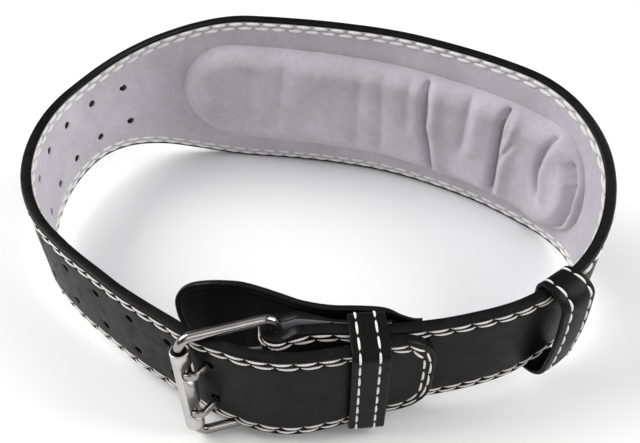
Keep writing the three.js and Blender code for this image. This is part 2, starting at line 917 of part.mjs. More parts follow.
function fixedKeeper() {
  const along = strap_route.nearest(new THREE.Vector2(keeper_x, frontLine(keeper_x)));
  const centre = strap_route.spot(along);
  const outward = strap_route.outward(along);
  const held = heldLayers(centre, outward);
  const half = strap_width / 2 + keeper_headroom;
  const section = loopShape(held.near - fixed_keeper_slack, held.far + fixed_keeper_slack, half);
  const loop = new THREE.ExtrudeGeometry(section, {
    depth: keeper_length, steps: 1, bevelEnabled: false, curveSegments: 4,
  });
  const heading = new THREE.Vector2(-outward.y, outward.x);
  return bend(indexed(loop), (point) => {
    const plan = centre.clone()
      .addScaledVector(outward, point.x)
      .addScaledVector(heading, point.z - keeper_length / 2);
    return new THREE.Vector3(plan.x, plan.y, mid_height + point.y);
  });
}

// How far the turned-back layer and the tongue stand off the strap's middle inside the keeper
function heldLayers(centre, outward) {
  const held = { near: 0, far: 0 };
  const marks = [
    ...closeMarks(0, turnback_run, 60),
    ...closeMarks(tongue_start, strap_end, 200),
  ];
  for (const along of marks) {
    const { outer } = strapShape(along);
    for (const side of [-1, 1]) {
      const face = onStrap(along, outer, mid_height + (side * strap_width) / 2);
      const offset = new THREE.Vector2(face.x, face.y).sub(centre);
      if (Math.abs(offset.cross(outward)) < keeper_length / 2 + lay_gap) {
        held.near = Math.min(held.near, offset.dot(outward));
        held.far = Math.max(held.far, offset.dot(outward));
      }
    }
  }
  return held;
}

function slidingKeeper() {
  const near = -(half_leather + fixed_keeper_slack);
  const half = strap_width / 2 + keeper_headroom;
  const loop = new THREE.ExtrudeGeometry(loopShape(near, near + sliding_keeper_room, half), {
    depth: sliding_keeper_length, steps: 3, bevelEnabled: false, curveSegments: 4,
  });
  const start = strap_route.nearest(new THREE.Vector2(
    sliding_keeper_place.across * half_width,
    sliding_keeper_place.deep * half_depth,
  ));
  return bend(indexed(loop), (point) => {
    const drift = (sliding_keeper_skew * (point.x - near)) / sliding_keeper_room;
    const along = start - sliding_keeper_length + point.z + drift;
    return onStrap(along, point.x, mid_height + point.y);
  });
}

// Assembly: the pieces stand in the ring's own frame, and the group sets them on the ground

const [upper_prong, lower_prong] = prong_heights.map((height) => geometryOf(prongSolid(height, 0)));
const pieces = [
  { name: 'belt_leather', finish: 'leather', geometry: beltLeather() },
  { name: 'suede_lining', finish: 'suede', geometry: suedeLining() },
  { name: 'lumbar_pad', finish: 'suede', geometry: lumbarPad() },
  { name: 'buckle_guard', finish: 'leather', geometry: buckleGuard() },
  { name: 'fixed_keeper', finish: 'leather', geometry: fixedKeeper() },
  { name: 'sliding_keeper', finish: 'leather', geometry: slidingKeeper() },
  { name: 'buckle_frame', finish: 'steel', geometry: buckleFrame() },
  { name: 'buckle_roller', finish: 'steel', geometry: buckleRoller() },
  { name: 'prong_upper', finish: 'steel', geometry: upper_prong },
  { name: 'prong_lower', finish: 'steel', geometry: lower_prong },
];

function centreOfWeight() {
  const sum = new THREE.Vector3();
  let weight = 0;
  const corners = [new THREE.Vector3(), new THREE.Vector3(), new THREE.Vector3()];
  for (const piece of pieces) {
    const bare = indexed(piece.geometry);
    const position = bare.attributes.position;
    const index = bare.index;
    for (let corner = 0; corner < index.count; corner += 3) {
      corners.forEach((point, offset) => {
        point.fromBufferAttribute(position, index.getX(corner + offset));
      });
      const volume = corners[0].dot(corners[1].clone().cross(corners[2])) / 6;
      const heft = volume * finishes[piece.finish].heft;
      weight += heft;
      for (const point of corners) sum.addScaledVector(point, heft / 4);
    }
  }
  return sum.divideScalar(weight);
}

// The tilt at which the belt stands: the slopes of the ground under it that bring its weight
// lowest, found by closing in on each slope in turn
function groundUnder(centre) {
  const points = [];
  for (const piece of pieces) {
    const position = piece.geometry.attributes.position;
    for (let index = 0; index < position.count; index += 1) {
      if (position.getZ(index) < mid_height) {
        points.push(new THREE.Vector3().fromBufferAttribute(position, index));
      }
    }
  }
  const clearance = (a, b) => Math.min(...points.map((p) => p.z - a * p.x - b * p.y));
  const rise = (a, b) => centre.z - a * centre.x - b * centre.y - clearance(a, b);
  const steepest = 0.3;
  const closeIn = (measure) => {
    let low = -steepest;
    let high = steepest;
    for (let turn = 0; turn < 40; turn += 1) {
      const third = (high - low) / 3;
      if (measure(low + third) < measure(high - third)) high -= third;
      else low += third;
    }
    return (low + high) / 2;
  };
  const across = closeIn((a) => rise(a, closeIn((b) => rise(a, b))));
  const deep = closeIn((b) => rise(across, b));
  return new THREE.Vector3(-across, -deep, 1).normalize();
}

const belt = new THREE.Group();
for (const piece of pieces) {
  const material = new THREE.MeshStandardMaterial(finishes[piece.finish].look);
  const mesh = new THREE.Mesh(outwardFaces(indexed(piece.geometry)), material);
  mesh.name = piece.name;
  belt.add(mesh);
}
const ground = groundUnder(centreOfWeight());
belt.quaternion.setFromUnitVectors(ground, new THREE.Vector3(0, 0, 1));
belt.updateMatrixWorld(true);
const box = new THREE.Box3().setFromObject(belt, true);
belt.position.set(-(box.min.x + box.max.x) / 2, -(box.min.y + box.max.y) / 2, -box.min.z);

export default belt;
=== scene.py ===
import math
from bisect import bisect_right
from functools import lru_cache

import bmesh
import bpy
from bpy.props import FloatProperty, FloatVectorProperty, PointerProperty
from bpy.types import Operator, Panel, PropertyGroup
from mathutils import Matrix, Quaternion, Vector, noise


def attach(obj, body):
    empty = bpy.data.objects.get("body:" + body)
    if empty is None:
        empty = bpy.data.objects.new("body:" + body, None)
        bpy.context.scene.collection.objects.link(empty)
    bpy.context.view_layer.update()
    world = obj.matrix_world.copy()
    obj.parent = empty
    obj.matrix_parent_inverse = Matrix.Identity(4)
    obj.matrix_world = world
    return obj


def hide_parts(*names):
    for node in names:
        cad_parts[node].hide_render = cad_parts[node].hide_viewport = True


bl_info = {
    "name": "Weightlifting Belt",
    "version": (1, 0, 0),
    "blender": (4, 5, 0),
    "location": "View3D > Sidebar > Belt",
    "description": "Builds a buckled leather weightlifting belt, its stitching, pad and stage",
    "category": "Object",
}

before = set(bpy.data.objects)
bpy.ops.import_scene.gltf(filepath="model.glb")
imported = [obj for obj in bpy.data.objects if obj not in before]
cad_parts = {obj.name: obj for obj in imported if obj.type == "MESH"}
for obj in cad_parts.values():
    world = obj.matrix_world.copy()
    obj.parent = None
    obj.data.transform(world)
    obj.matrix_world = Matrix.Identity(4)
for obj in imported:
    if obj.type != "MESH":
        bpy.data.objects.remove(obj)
MM = 0.001

# The belt's own sizes in millimetres, as its solids have them

RING_WIDTH = 285.6
RING_DEPTH = 193.7
BACK_WIDTH = 101.6
STRAP_WIDTH = 54.2
LEATHER = 5.1
BACK_LENGTH = 157.0
LEFT_TAPER = 112.0
RIGHT_TAPER = 119.0
TONGUE_CORNER = 17.0
LAY_GAP = 0.3
TURNBACK_LENGTH = 47.0
TURNBACK_THICKNESS = 1.7
SKIVED_LENGTH = 24.0
FOLD_RADIUS = 5.1
FOLD_SPREAD = math.radians(11.0)
FOLD_INSET = 3.2
FOLD_INSET_RUN = 9.0
FOLD_FACE_BACK = 13.0
FOLD_FACE_OUT = 2.5
SETTLE_RUN_SHARE = 0.45
TONGUE_BOW = 5.9
TONGUE_BOW_LEAN = 3.4
BOW_MIDDLE_SHARE = 0.62
BOW_SPREAD_SHARE = 0.45
INLET_BOW = 7.6
BUCKLE_REACH = 40.9
BUCKLE_LEAN = math.radians(8.5)
BUCKLE_ANGLE = math.radians(-163.92081)
KEEPER_LENGTH = 16.0
KEEPER_X = 0.168 * RING_WIDTH / 2
KEEPER_WALL = 2.1
KEEPER_HALF = STRAP_WIDTH / 2 + 1.0
MID = BACK_WIDTH / 2
HALF_LEATHER = LEATHER / 2
LINING_THICKNESS = 0.9
HOLE_DIAMETER = 4.4
HOLE_PITCH = 22.1
HOLE_HEIGHT = 12.3
HOLE_PAIRS = 11
PRONG_CROSSING = 808.465
WIRE_RADIUS = 2.2
BUCKLE_CORNER = 6.0
ROLLER_RADIUS = 4.2
ROLLER_WALL = 0.9
PRONG_WIDTH = 3.6
PRONG_THICKNESS = 2.1
PRONG_CLEARANCE = 0.45

# The ring's frame on the ground, and the camera in the ring's frame: its tilt down, its distance
# from what it looks at, and that place from above

STAND_TURN = Quaternion((0.998876, 0.044822, -0.015402, 0.0)).normalized()
STAND_PLACE = Vector((1.44551, 9.93539, -7.36286))
STAND = Matrix.Translation(STAND_PLACE) @ STAND_TURN.to_matrix().to_4x4()
TO_WORLD = Matrix.Scale(MM, 4) @ STAND
CAMERA_TILT = math.radians(47.24)
CAMERA_REACH = 465.8
CAMERA_TARGET = (4.5, 35.65)

# The middle of the strap from above, as shares of half the ring's width and depth

FRONT_ROWS = [(0.0035, -1.0248), (0.0595, -1.0114), (0.1155, -1.0041), (0.1716, -0.9969),
              (0.2416, -0.9897), (0.3326, -0.9742), (0.4377, -0.9463)]
WAIST_ROWS = [(0.621, -0.865), (0.766, -0.738), (0.88, -0.572), (0.961, -0.368), (0.998, -0.148),
              (0.989, 0.047), (0.931, 0.247), (0.842, 0.407), (0.716, 0.554), (0.546, 0.698),
              (0.341, 0.832), (0.125, 0.917), (-0.096, 0.971), (-0.319, 1.0), (-0.515, 0.993),
              (-0.666, 0.955), (-0.803, 0.852), (-0.906, 0.685), (-0.975, 0.46), (-1.0, 0.195),
              (-0.977, -0.07), (-0.903, -0.315), (-0.784, -0.517), (-0.647, -0.693),
              (-0.5644, -0.7925)]
INLET_ROWS = [(1.064, -1.08), (0.785, -0.12), (0.543, 0.45), (0.347, 0.89), (0.164, 1.14)]
TONGUE_ROWS = [(-0.0805, 0.74), (-0.0245, 0.98), (0.0315, 1.0), (0.0875, 0.86), (0.165, 0.46),
               (0.21, 0.2), (0.2626, 0.04), (0.33, 0.0), (0.373, 0.0)]
BACK_PLACE = (0.304, 0.851)
SLIDING_PLACE = (0.803, -0.691)
GUARD_LEFT_ROWS = [(-0.432, 1.0), (-0.319, 0.745), (-0.211, 0.666), (-0.144, 0.507),
                   (-0.0875, 0.337), (-0.0245, 0.14)]
GUARD_BACK_ROWS = [(-0.9, 1.5), (-0.16, 1.0), (0.55, 0.25)]
GUARD_END_ROWS = [(0.9, 0.52), (1.25, 0.06), (1.45, 0.0)]
GUARD_SPRING = 19.0
GUARD_EASE = 2.5
GUARD_OFF_KEEPER = 9.25
GUARD_OFF_LEATHER = 3.675
GUARD_HALF = 26.5
GUARD_CORNER = 24.0
GUARD_THICKNESS = 3.0
GUARD_SKIVE = 0.55


def ease(share):
    """A smooth step from 0 to 1."""
    share = min(max(share, 0.0), 1.0)
    return share * share * (3 - 2 * share)


def blend(low, high, share):
    return low + (high - low) * share


def hump(off, spread):
    """A smooth bump, 1 in its middle."""
    return math.exp(-(off / spread) ** 2)


def smooth_points(points, count):
    """Points along the centripetal curve that passes through the given ones."""
    last = len(points) - 1
    first = tuple(2 * a - b for a, b in zip(points[0], points[1]))
    beyond = tuple(2 * a - b for a, b in zip(points[last], points[last - 1]))
    padded = [first, *points, beyond]
    found = []
    for index in range(count + 1):
        place = last * index / count
        low = min(int(place), last - 1)
        share = place - low
        four = padded[low:low + 4]
        gaps = [math.dist(four[k], four[k + 1]) ** 0.5 for k in range(3)]
        spot = []
        for x0, x1, x2, x3 in zip(*four):
            start = ((x1 - x0) / gaps[0] - (x2 - x0) / (gaps[0] + gaps[1])
                     + (x2 - x1) / gaps[1]) * gaps[1]
            end = ((x2 - x1) / gaps[1] - (x3 - x1) / (gaps[1] + gaps[2])
                   + (x3 - x2) / gaps[2]) * gaps[1]
            square = -3 * x1 + 3 * x2 - 2 * start - end
            cube = 2 * x1 - 2 * x2 + start + end
            spot.append(x1 + share * (start + share * (square + share * cube)))
        found.append(tuple(spot))
    return found


DIRECTION_STEP = 0.6


class Route:
    """A line seen from above, read by the distance along it."""

    def __init__(self, points):
        self.points = points
        self.marks = [0.0]
        for before, after in zip(points, points[1:]):
            self.marks.append(self.marks[-1] + math.dist(before, after))
        self.length = self.marks[-1]

    def spot(self, along):
        along = min(max(along, 0.0), self.length)
        low = min(bisect_right(self.marks, along) - 1, len(self.marks) - 2)
        share = (along - self.marks[low]) / (self.marks[low + 1] - self.marks[low])
        return tuple(blend(a, b, share) for a, b in zip(self.points[low], self.points[low + 1]))

    @lru_cache(maxsize=None)
    def frame_at(self, along):
        """The point there, and the unit normal on the right of the way along."""
        x, y = self.spot(along)
        back = self.spot(along - DIRECTION_STEP)
        ahead = self.spot(along + DIRECTION_STEP)
        length = math.dist(back, ahead)
        return x, y, (ahead[1] - back[1]) / length, (back[0] - ahead[0]) / length

    def nearest(self, target):
        distances = [math.dist(point, target) for point in self.points]
        return self.marks[distances.index(min(distances))]


def on_ring(rows):
    return [(across * RING_WIDTH / 2, deep * RING_DEPTH / 2) for across, deep in rows]


front = on_ring(FRONT_ROWS)
fold_face = (front[0][0] - FOLD_FACE_BACK, front[0][1] - FOLD_FACE_OUT)
heel = (fold_face[0], fold_face[1] + FOLD_RADIUS)
fold_x = heel[0] + FOLD_RADIUS * math.sin(FOLD_SPREAD)
fold_ends = [(fold_x, heel[1] + side * FOLD_RADIUS * math.cos(FOLD_SPREAD)) for side in (1, -1)]
front_line = smooth_points([fold_ends[1], *front], 400)


def front_depth(x):
    return min(front_line, key=lambda point: abs(point[0] - x))[1]


def turnback_thickness(from_heel):
    return blend(LEATHER, TURNBACK_THICKNESS, ease(from_heel / SKIVED_LENGTH))


def turnback_line():
    laid = []
    for mark in (TURNBACK_LENGTH, (TURNBACK_LENGTH + SKIVED_LENGTH) / 2, SKIVED_LENGTH):
        x = heel[0] + mark
        laid.append((x, front_depth(x) + HALF_LEATHER + LAY_GAP + TURNBACK_THICKNESS / 2))
    settle = (heel[0] + SKIVED_LENGTH * SETTLE_RUN_SHARE, (fold_ends[0][1] + laid[2][1]) / 2)
    return smooth_points([*laid, settle, fold_ends[0]], 60)


def fold_line():
    start = math.pi / 2 - FOLD_SPREAD
    sweep = math.pi + 2 * FOLD_SPREAD
    angles = [start + sweep * step / 28 for step in range(29)]
    return [(heel[0] + FOLD_RADIUS * math.cos(turn), heel[1] + FOLD_RADIUS * math.sin(turn))
            for turn in angles]


def loop_line():
    inlet = [(heel[0] - behind * BUCKLE_REACH, fold_face[1] - out * INLET_BOW)
             for behind, out in INLET_ROWS]
    tongue = []
    for across, bow in TONGUE_ROWS:
        x = across * RING_WIDTH / 2
        tongue.append((x, front_depth(x) - LEATHER - LAY_GAP - bow * TONGUE_BOW))
    return smooth_points([fold_ends[1], *front, *on_ring(WAIST_ROWS), *inlet, *tongue], 2600)


def behind_keeper(share, out):
    """A point that many keeper lengths from the fixed keeper, and that far off the strap."""
    x = KEEPER_X + share * KEEPER_LENGTH
    return x, front_depth(x) + out


def guard_line():
    back = [behind_keeper(share, GUARD_OFF_KEEPER + lift * GUARD_EASE)
            for share, lift in GUARD_BACK_ROWS]
    left = [(across * RING_WIDTH / 2, back[0][1] + spring * GUARD_SPRING)
            for across, spring in GUARD_LEFT_ROWS]
    laid = [behind_keeper(share, blend(GUARD_OFF_LEATHER, GUARD_OFF_KEEPER, lift))
            for share, lift in GUARD_END_ROWS]
    return smooth_points([*left, *back, *laid], 300)


turnback = turnback_line()
fold = fold_line()
strap = Route(turnback + fold[1:] + loop_line()[1:])
guard_route = Route(guard_line())
TURNBACK_RUN = Route(turnback).length
FOLD_RUN = TURNBACK_RUN + Route(fold).length
STRAP_END = strap.length
TONGUE_START = strap.nearest((heel[0] - BUCKLE_REACH * 1.1, heel[1] - FOLD_RADIUS))
TONGUE_LENGTH = STRAP_END - TONGUE_START
BACK_MIDDLE = strap.nearest(on_ring([BACK_PLACE])[0])
LINING_START = FOLD_RUN + KEEPER_X - heel[0] + KEEPER_LENGTH * 1.5
to_roller = (math.cos(BUCKLE_ANGLE), math.sin(BUCKLE_ANGLE))
leaning = (to_roller[1], -to_roller[0])


def from_fold(along):
    return max(TURNBACK_RUN - along, along - FOLD_RUN, 0.0)


def lean_at(along):
    """How far the leather leans inwards for each millimetre of height."""
    lean = math.tan(BUCKLE_LEAN) * (1 - ease(from_fold(along) / TURNBACK_LENGTH))
    if along > TONGUE_START:
        middle = STRAP_END - BOW_MIDDLE_SHARE * TONGUE_LENGTH
        off = abs(along - middle) / (BOW_SPREAD_SHARE * TONGUE_LENGTH)
        lean += (1 - ease(off)) * TONGUE_BOW_LEAN / STRAP_WIDTH
    return lean


def half_height(along):
    from_middle = along - BACK_MIDDLE
    taper = LEFT_TAPER if from_middle > 0 else RIGHT_TAPER
    narrowing = ease((abs(from_middle) - BACK_LENGTH / 2) / taper)
    inset = FOLD_INSET * (1 - ease(from_fold(along) / FOLD_INSET_RUN))
    return blend(MID, STRAP_WIDTH / 2, narrowing) - inset


def half_thickness(along):
    return turnback_thickness(TURNBACK_RUN - along) / 2


def on_route(route, along, height, out, lean=0.0):
    """A flat pattern's point, laid on its route: along it, up from its middle, and outwards."""
    x, y, right_x, right_y = route.frame_at(along)
    shift = lean * height
    return Vector((x + right_x * out + leaning[0] * shift,
                   y + right_y * out + leaning[1] * shift, MID + height))


def on_strap(flat):
    return on_route(strap, *flat, lean_at(flat[0]))


def on_guard(flat):
    return on_route(guard_route, *flat)


# Sizes and colours that a user may change


def length_setting(name, description, default, low, high):
    return FloatProperty(name=name, description=description, default=default, min=low, max=high,
                         unit="LENGTH")


def number_setting(name, description, default, low, high):
    return FloatProperty(name=name, description=description, default=default, min=low, max=high)


def colour_of(name, description, default):
    return FloatVectorProperty(name=name, description=description, default=default,
                               subtype="COLOR", size=3, min=0, max=1)


class BeltSizes(PropertyGroup):
    stitch_pitch: length_setting("Stitch pitch", "From one stitch to the next", 0.0096, 0.004, 0.02)
    thread_width: length_setting("Thread", "Width of the sewing thread", 0.00095, 0.0003, 0.002)
    first_row: length_setting("First row", "From the edge to the first row of stitches",
                      0.0023, 0.001, 0.006)
    second_row: length_setting("Second row", "From the edge to the second row of stitches",
                       0.005, 0.003, 0.012)
    edge_round: length_setting("Edge rounding", "Radius of the leather's finished edges",
                       0.0008, 0.0002, 0.0015)
    pad_thickness: length_setting("Pad thickness", "Thickness of the lumbar pad at its crown",
                          0.0095, 0.004, 0.012)
    guard_line: length_setting("Guard crease", "From the guard's edge to its pressed line",
                       0.003, 0.0015, 0.006)


class BeltColours(PropertyGroup):
    leather: colour_of("Leather", "Colour of the black outer leather", (0.0048, 0.0048, 0.005))
    edge: colour_of("Edge paint", "Colour of the painted leather edges", (0.0035, 0.0035, 0.0036))
    suede: colour_of("Suede", "Colour of the grey suede lining and pad", (0.475, 0.463, 0.497))
    thread: colour_of("Thread", "Colour of the sewing thread", (0.80, 0.77, 0.75))
    wire: colour_of("Buckle wire", "Colour of the buckle's frame and prongs", (0.33, 0.31, 0.30))
    roller: colour_of("Roller", "Colour of the bright roller", (0.54, 0.52, 0.50))


class StageSettings(PropertyGroup):
    floor: colour_of("Floor", "Colour of the pale floor", (0.86, 0.86, 0.86))
    sky: number_setting("Surroundings", "Strength of the light from all round", 0.08, 0, 3)
    soft_light: number_setting("Soft lights", "Strength of the soft lights, in watts", 22.5, 0, 200)
    lens: number_setting("Lens", "Focal length of the camera, in millimetres", 43.73, 15, 200)


def sizes():
    return bpy.context.scene.belt_sizes


def colours():
    return bpy.context.scene.belt_colours


# Materials


class Finish:
    """A material, with its nodes laid one after another."""

    def __init__(self, name):
        self.material = bpy.data.materials.new(name)
        self.material.use_nodes = True
        self.tree = self.material.node_tree
        self.tree.nodes.clear()
        self.shader = self.node("ShaderNodeBsdfPrincipled")
        output = self.node("ShaderNodeOutputMaterial")
        self.join(self.shader.outputs["BSDF"], output.inputs["Surface"])
        self.place = self.node("ShaderNodeTexCoord").outputs["Object"]

    def node(self, kind, entries=None, **settings):
        """A new node with its settings, and what each of its entries is set or joined to."""
        made = self.tree.nodes.new(kind)
        made.location = (-220 * len(self.tree.nodes), 0)
        for key, value in settings.items():
            setattr(made, key, value)
        for name, value in (entries or {}).items():
            self.feed(made.inputs[name], value)
        return made

    def feed(self, entry, value):
        """Join an entry to another node's output, or set it to a value."""
        if isinstance(value, bpy.types.NodeSocket):
            self.join(value, entry)
        else:
            entry.default_value = value

    def join(self, output, entry):
        self.tree.links.new(output, entry)

    def noise(self, size, detail=3.0, rough=0.55):
        """Cloudy noise whose features are about that many millimetres."""
        return self.node("ShaderNodeTexNoise", {
            "Scale": 1 / (size * MM), "Detail": detail, "Roughness": rough,
            "Vector": self.place}).outputs["Fac"]

    def cells(self, size):
        """Rounded cells, as in pebbled leather."""
        return self.node("ShaderNodeTexVoronoi", {
            "Scale": 1 / (size * MM), "Smoothness": 0.6,
            "Vector": self.place}, feature="SMOOTH_F1").outputs["Distance"]

    def math(self, operation, first, second):
        return self.node("ShaderNodeMath", {0: first, 1: second}, operation=operation).outputs[0]

    def spread(self, value, low, high, start=0.3, stop=0.7):
        """The value's range from start to stop, spread from low to high."""
        return self.node("ShaderNodeMapRange", {
            "Value": value, "From Min": start, "From Max": stop, "To Min": low,
            "To Max": high}).outputs["Result"]

    def tint(self, amount, dark, light):
        """A colour between two, by the amount."""
        return self.node("ShaderNodeMix", {
            "Factor": amount, 6: (*dark, 1), 7: (*light, 1)}, data_type="RGBA").outputs[2]

    def relief(self, height, strength, depth, under=None):
        """A bump that many millimetres deep, over one below it."""
        entries = {"Strength": strength, "Distance": depth * MM, "Height": height}
        if under:
            entries["Normal"] = under
        return self.node("ShaderNodeBump", entries).outputs["Normal"]

    def set(self, **sockets):
        for name, value in sockets.items():
            self.feed(self.shader.inputs[name.replace("_", " ")], value)


def shade(colour, share):
    return tuple(min(part * share, 1.0) for part in colour)


def black_leather(name, rough=0.42, grain=0.9, shine=0.09):
    made = Finish(name)
    colour = colours().leather
    cloud = made.noise(24, 4, 0.6)
    pores = made.cells(0.75 * grain)
    fibre = made.noise(0.32, 3)
    rub = made.noise(5.5, 5, 0.65)
    made.set(
        Base_Color=made.tint(made.spread(cloud, 0, 1), shade(colour, 0.75), shade(colour, 1.5)),
        Roughness=made.spread(rub, rough - 0.07, rough + 0.09, 0.3, 0.7),
        Normal=made.relief(
            made.math("ADD", pores, made.math("MULTIPLY", fibre, 0.4)), 0.28, 0.09,
            made.relief(made.noise(7, 3), 0.25, 0.35)))
    made.set(Specular_IOR_Level=shine)
    return made.material


def edge_paint(name):
    made = Finish(name)
    colour = colours().edge
    fibre = made.noise(1.1, 4, 0.6)
    made.set(
        Base_Color=made.tint(made.spread(made.noise(9, 4), 0, 1),
                             shade(colour, 0.8), shade(colour, 2.2)),
        Roughness=made.spread(fibre, 0.22, 0.4),
        Normal=made.relief(fibre, 0.3, 0.16))
    made.set(Specular_IOR_Level=0.13)
    return made.material


def grey_suede(name, level=1.0):
    made = Finish(name)
    colour = shade(colours().suede, level)
    nap = made.noise(0.55, 6, 0.7)
    brushed = made.noise(3.4, 5, 0.7)
    cloud = made.noise(26, 4, 0.6)
    tone = made.math("ADD", made.math("MULTIPLY", nap, 0.3),
                     made.math("ADD", made.math("MULTIPLY", brushed, 0.3),
                               made.math("MULTIPLY", cloud, 0.4)))
    made.set(
        Base_Color=made.tint(made.spread(tone, 0, 1, 0.36, 0.64),
                             shade(colour, 0.8), shade(colour, 1.16)),
        Roughness=made.spread(brushed, 0.84, 1.0),
        Normal=made.relief(nap, 0.5, 0.22, made.relief(brushed, 0.2, 0.3)))
    made.set(Specular_IOR_Level=0.15, Sheen_Weight=0.25, Sheen_Roughness=0.5)
    return made.material


def sewing_thread(name):
    made = Finish(name)
    colour = colours().thread
    along_thread = made.node("ShaderNodeUVMap", uv_map="length").outputs["UV"]
    twist = made.node("ShaderNodeTexWave", {
        "Scale": 420, "Distortion": 0.6, "Vector": along_thread},
        bands_direction="DIAGONAL").outputs["Fac"]
    made.set(
        Base_Color=made.tint(twist, shade(colour, 0.82), shade(colour, 1.08)),
        Roughness=made.spread(made.noise(0.5), 0.5, 0.7),
        Normal=made.relief(twist, 0.5, 0.12))
    made.set(Sheen_Weight=0.2, Specular_IOR_Level=0.35)
    return made.material


def metal(name, colour, rough, brushed):
    made = Finish(name)
    smear = made.noise(9, 4, 0.6)
    scratch = made.noise(0.6, 4, 0.7)
    made.set(
        Base_Color=made.tint(made.spread(smear, 0, 1), shade(colour, 0.86), shade(colour, 1.12)),
        Roughness=made.spread(made.math("ADD", made.math("MULTIPLY", smear, 0.6),
                                        made.math("MULTIPLY", scratch, 0.4)),
                              rough - 0.05, rough + 0.08),
        Normal=made.relief(scratch, brushed, 0.02))
    made.set(Metallic=1.0)
    return made.material


@lru_cache(maxsize=None)
def finish(name):
    """The finish of that name, made once."""
    make, *details = {
        "leather_black": (black_leather,),
        "guard_leather": (black_leather, 0.36, 0.8, 0.06),
        "edge_paint": (edge_paint,),
        "lining_suede": (grey_suede,),
        "pad_suede": (grey_suede,),
        "flesh_side": (grey_suede, 0.5),
        "thread": (sewing_thread,),
        "buckle_wire": (metal, tuple(colours().wire), 0.16, 0.1),
        "roller_steel": (metal, tuple(colours().roller), 0.3, 0.2),
    }[name]
    return make(name, *details)


# Modelling helpers


def round_corner(from_end, from_side, corner):
    """Where a point near a square corner goes when the corner is rounded."""
    inset = min(from_end, from_side)
    beyond = max(from_end, from_side)
    if beyond >= corner:
        return from_end, from_side
    radius = corner - inset
    turn = math.pi / 4 * (1 - (beyond - inset) / radius)
    close = corner - radius * math.cos(turn)
    far = corner - radius * math.sin(turn)
    return (close, far) if from_end < from_side else (far, close)


def edge_distance(from_end, from_side, corner):
    """How far a flat point is from the outline."""
    if from_end < corner and from_side < corner:
        return corner - math.hypot(corner - from_end, corner - from_side)
    return min(from_end, from_side)


def even_marks(start, stop, step):
    count = max(1, round((stop - start) / step))
    return [blend(start, stop, index / count) for index in range(count + 1)]


def merged_marks(marks, least):
    """Marks in order, without those that lie closer than the least step."""
    kept = []
    for mark in sorted(marks):
        if not kept or mark - kept[-1] > least:
            kept.append(mark)
    return kept


def across_rows(half, insets, middle):
    """Heights from the low edge to the high one: rows near each edge, and even ones between."""
    inner = half - insets[-1]
    between = [blend(-inner, inner, (index + 1) / (middle + 1)) for index in range(middle)]
    return [d - half for d in insets] + between + [half - d for d in reversed(insets)]


def flat_sheet(marks, half_at, insets, middle, start_corner=0.0, stop_corner=0.0):
    """A flat grid of faces: columns at the marks, rows that keep their distance from the edges."""
    bm = bmesh.new()
    columns = len(marks)
    rows = 2 * len(insets) + middle
    bmesh.ops.create_grid(bm, x_segments=columns - 1, y_segments=rows - 1, size=0.5)
    heights = [across_rows(half_at(mark), insets, middle) for mark in marks]
    for vert in bm.verts:
        column = round((vert.co.x + 0.5) * (columns - 1))
        along = marks[column]
        height = heights[column][round((vert.co.y + 0.5) * (rows - 1))]
        from_side = half_at(along) - abs(height)
        if stop_corner and marks[-1] - along < stop_corner:
            from_end, side = round_corner(marks[-1] - along, from_side, stop_corner)
            along, from_side = marks[-1] - from_end, side
        elif start_corner and along - marks[0] < start_corner:
            from_end, side = round_corner(along - marks[0], from_side, start_corner)
            along, from_side = marks[0] + from_end, side
        vert.co = (along, math.copysign(half_at(along) - from_side, height), 0.0)
    return bm


def thicken(bm, outer_at, inner_at):
    """Give a flat sheet its two faces."""
    bmesh.ops.solidify(bm, geom=bm.faces[:], thickness=1.0)
    for vert in bm.verts:
        vert.co.z = outer_at(vert.co.x) if vert.co.z > -0.5 else inner_at(vert.co.x)
    bm.normal_update()


def is_rim(face):
    return abs(face.normal.z) < 0.5


def round_rim(bm, radius, segments=3):
    """Round the edges between the rim and the two faces of a flat sheet."""
    edges = [edge for edge in bm.edges if len(edge.link_faces) == 2
             and is_rim(edge.link_faces[0]) != is_rim(edge.link_faces[1])]
    bmesh.ops.bevel(bm, geom=edges, offset=radius, offset_type="OFFSET", segments=segments,
                    profile=0.5, affect="EDGES", material=-1)
    bm.normal_update()


def place_verts(bm, place):
    for vert in bm.verts:
        vert.co = place(vert.co)


def move_all(bm, matrix):
    bmesh.ops.transform(bm, matrix=matrix, verts=bm.verts[:])


def face_outwards(bm):
    bmesh.ops.recalc_face_normals(bm, faces=bm.faces[:])


def placed(name, bm):
    """The object that a mesh makes, in the scene."""
    mesh = bpy.data.meshes.new(name)
    bm.to_mesh(mesh)
    bm.free()
    thing = bpy.data.objects.new(name, mesh)
    bpy.context.scene.collection.objects.link(thing)
    return thing


def finished(name, bm, finishes, replaces=None, sharp=38):
    """The piece that a mesh makes, in metres on the ground, with its first finish as its slot."""
    move_all(bm, TO_WORLD)
    piece = placed(name, bm)
    for kind in finishes:
        piece.data.materials.append(finish(kind))
    piece.data.shade_smooth()
    piece.data.set_sharp_from_angle(angle=math.radians(sharp))
    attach(piece, "root")
    if replaces:
        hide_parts(replaces)
    return piece


def cut_away(piece, bm):
    """Cut the closed shapes of a mesh out of a piece, and keep the result as its mesh."""
    move_all(bm, TO_WORLD)
    face_outwards(bm)
    tool = placed("cutting_tool", bm)
    cut = piece.modifiers.new("cut", "BOOLEAN")
    cut.operation = "DIFFERENCE"
    cut.solver = "EXACT"
    cut.object = tool
    bpy.context.view_layer.update()
    done = piece.evaluated_get(bpy.context.evaluated_depsgraph_get())
    mesh = bpy.data.meshes.new_from_object(done)
    piece.modifiers.clear()
    old = piece.data
    piece.data = mesh
    mesh.name = piece.name
    bpy.data.meshes.remove(old)
    bpy.data.meshes.remove(tool.data)


def runs_along(points):
    """The unit direction of a line at each of its points."""
    for index in range(len(points)):
        before = points[max(index - 1, 0)]
        after = points[min(index + 1, len(points) - 1)]
        yield Vector((after[0] - before[0], after[1] - before[1])).normalized()


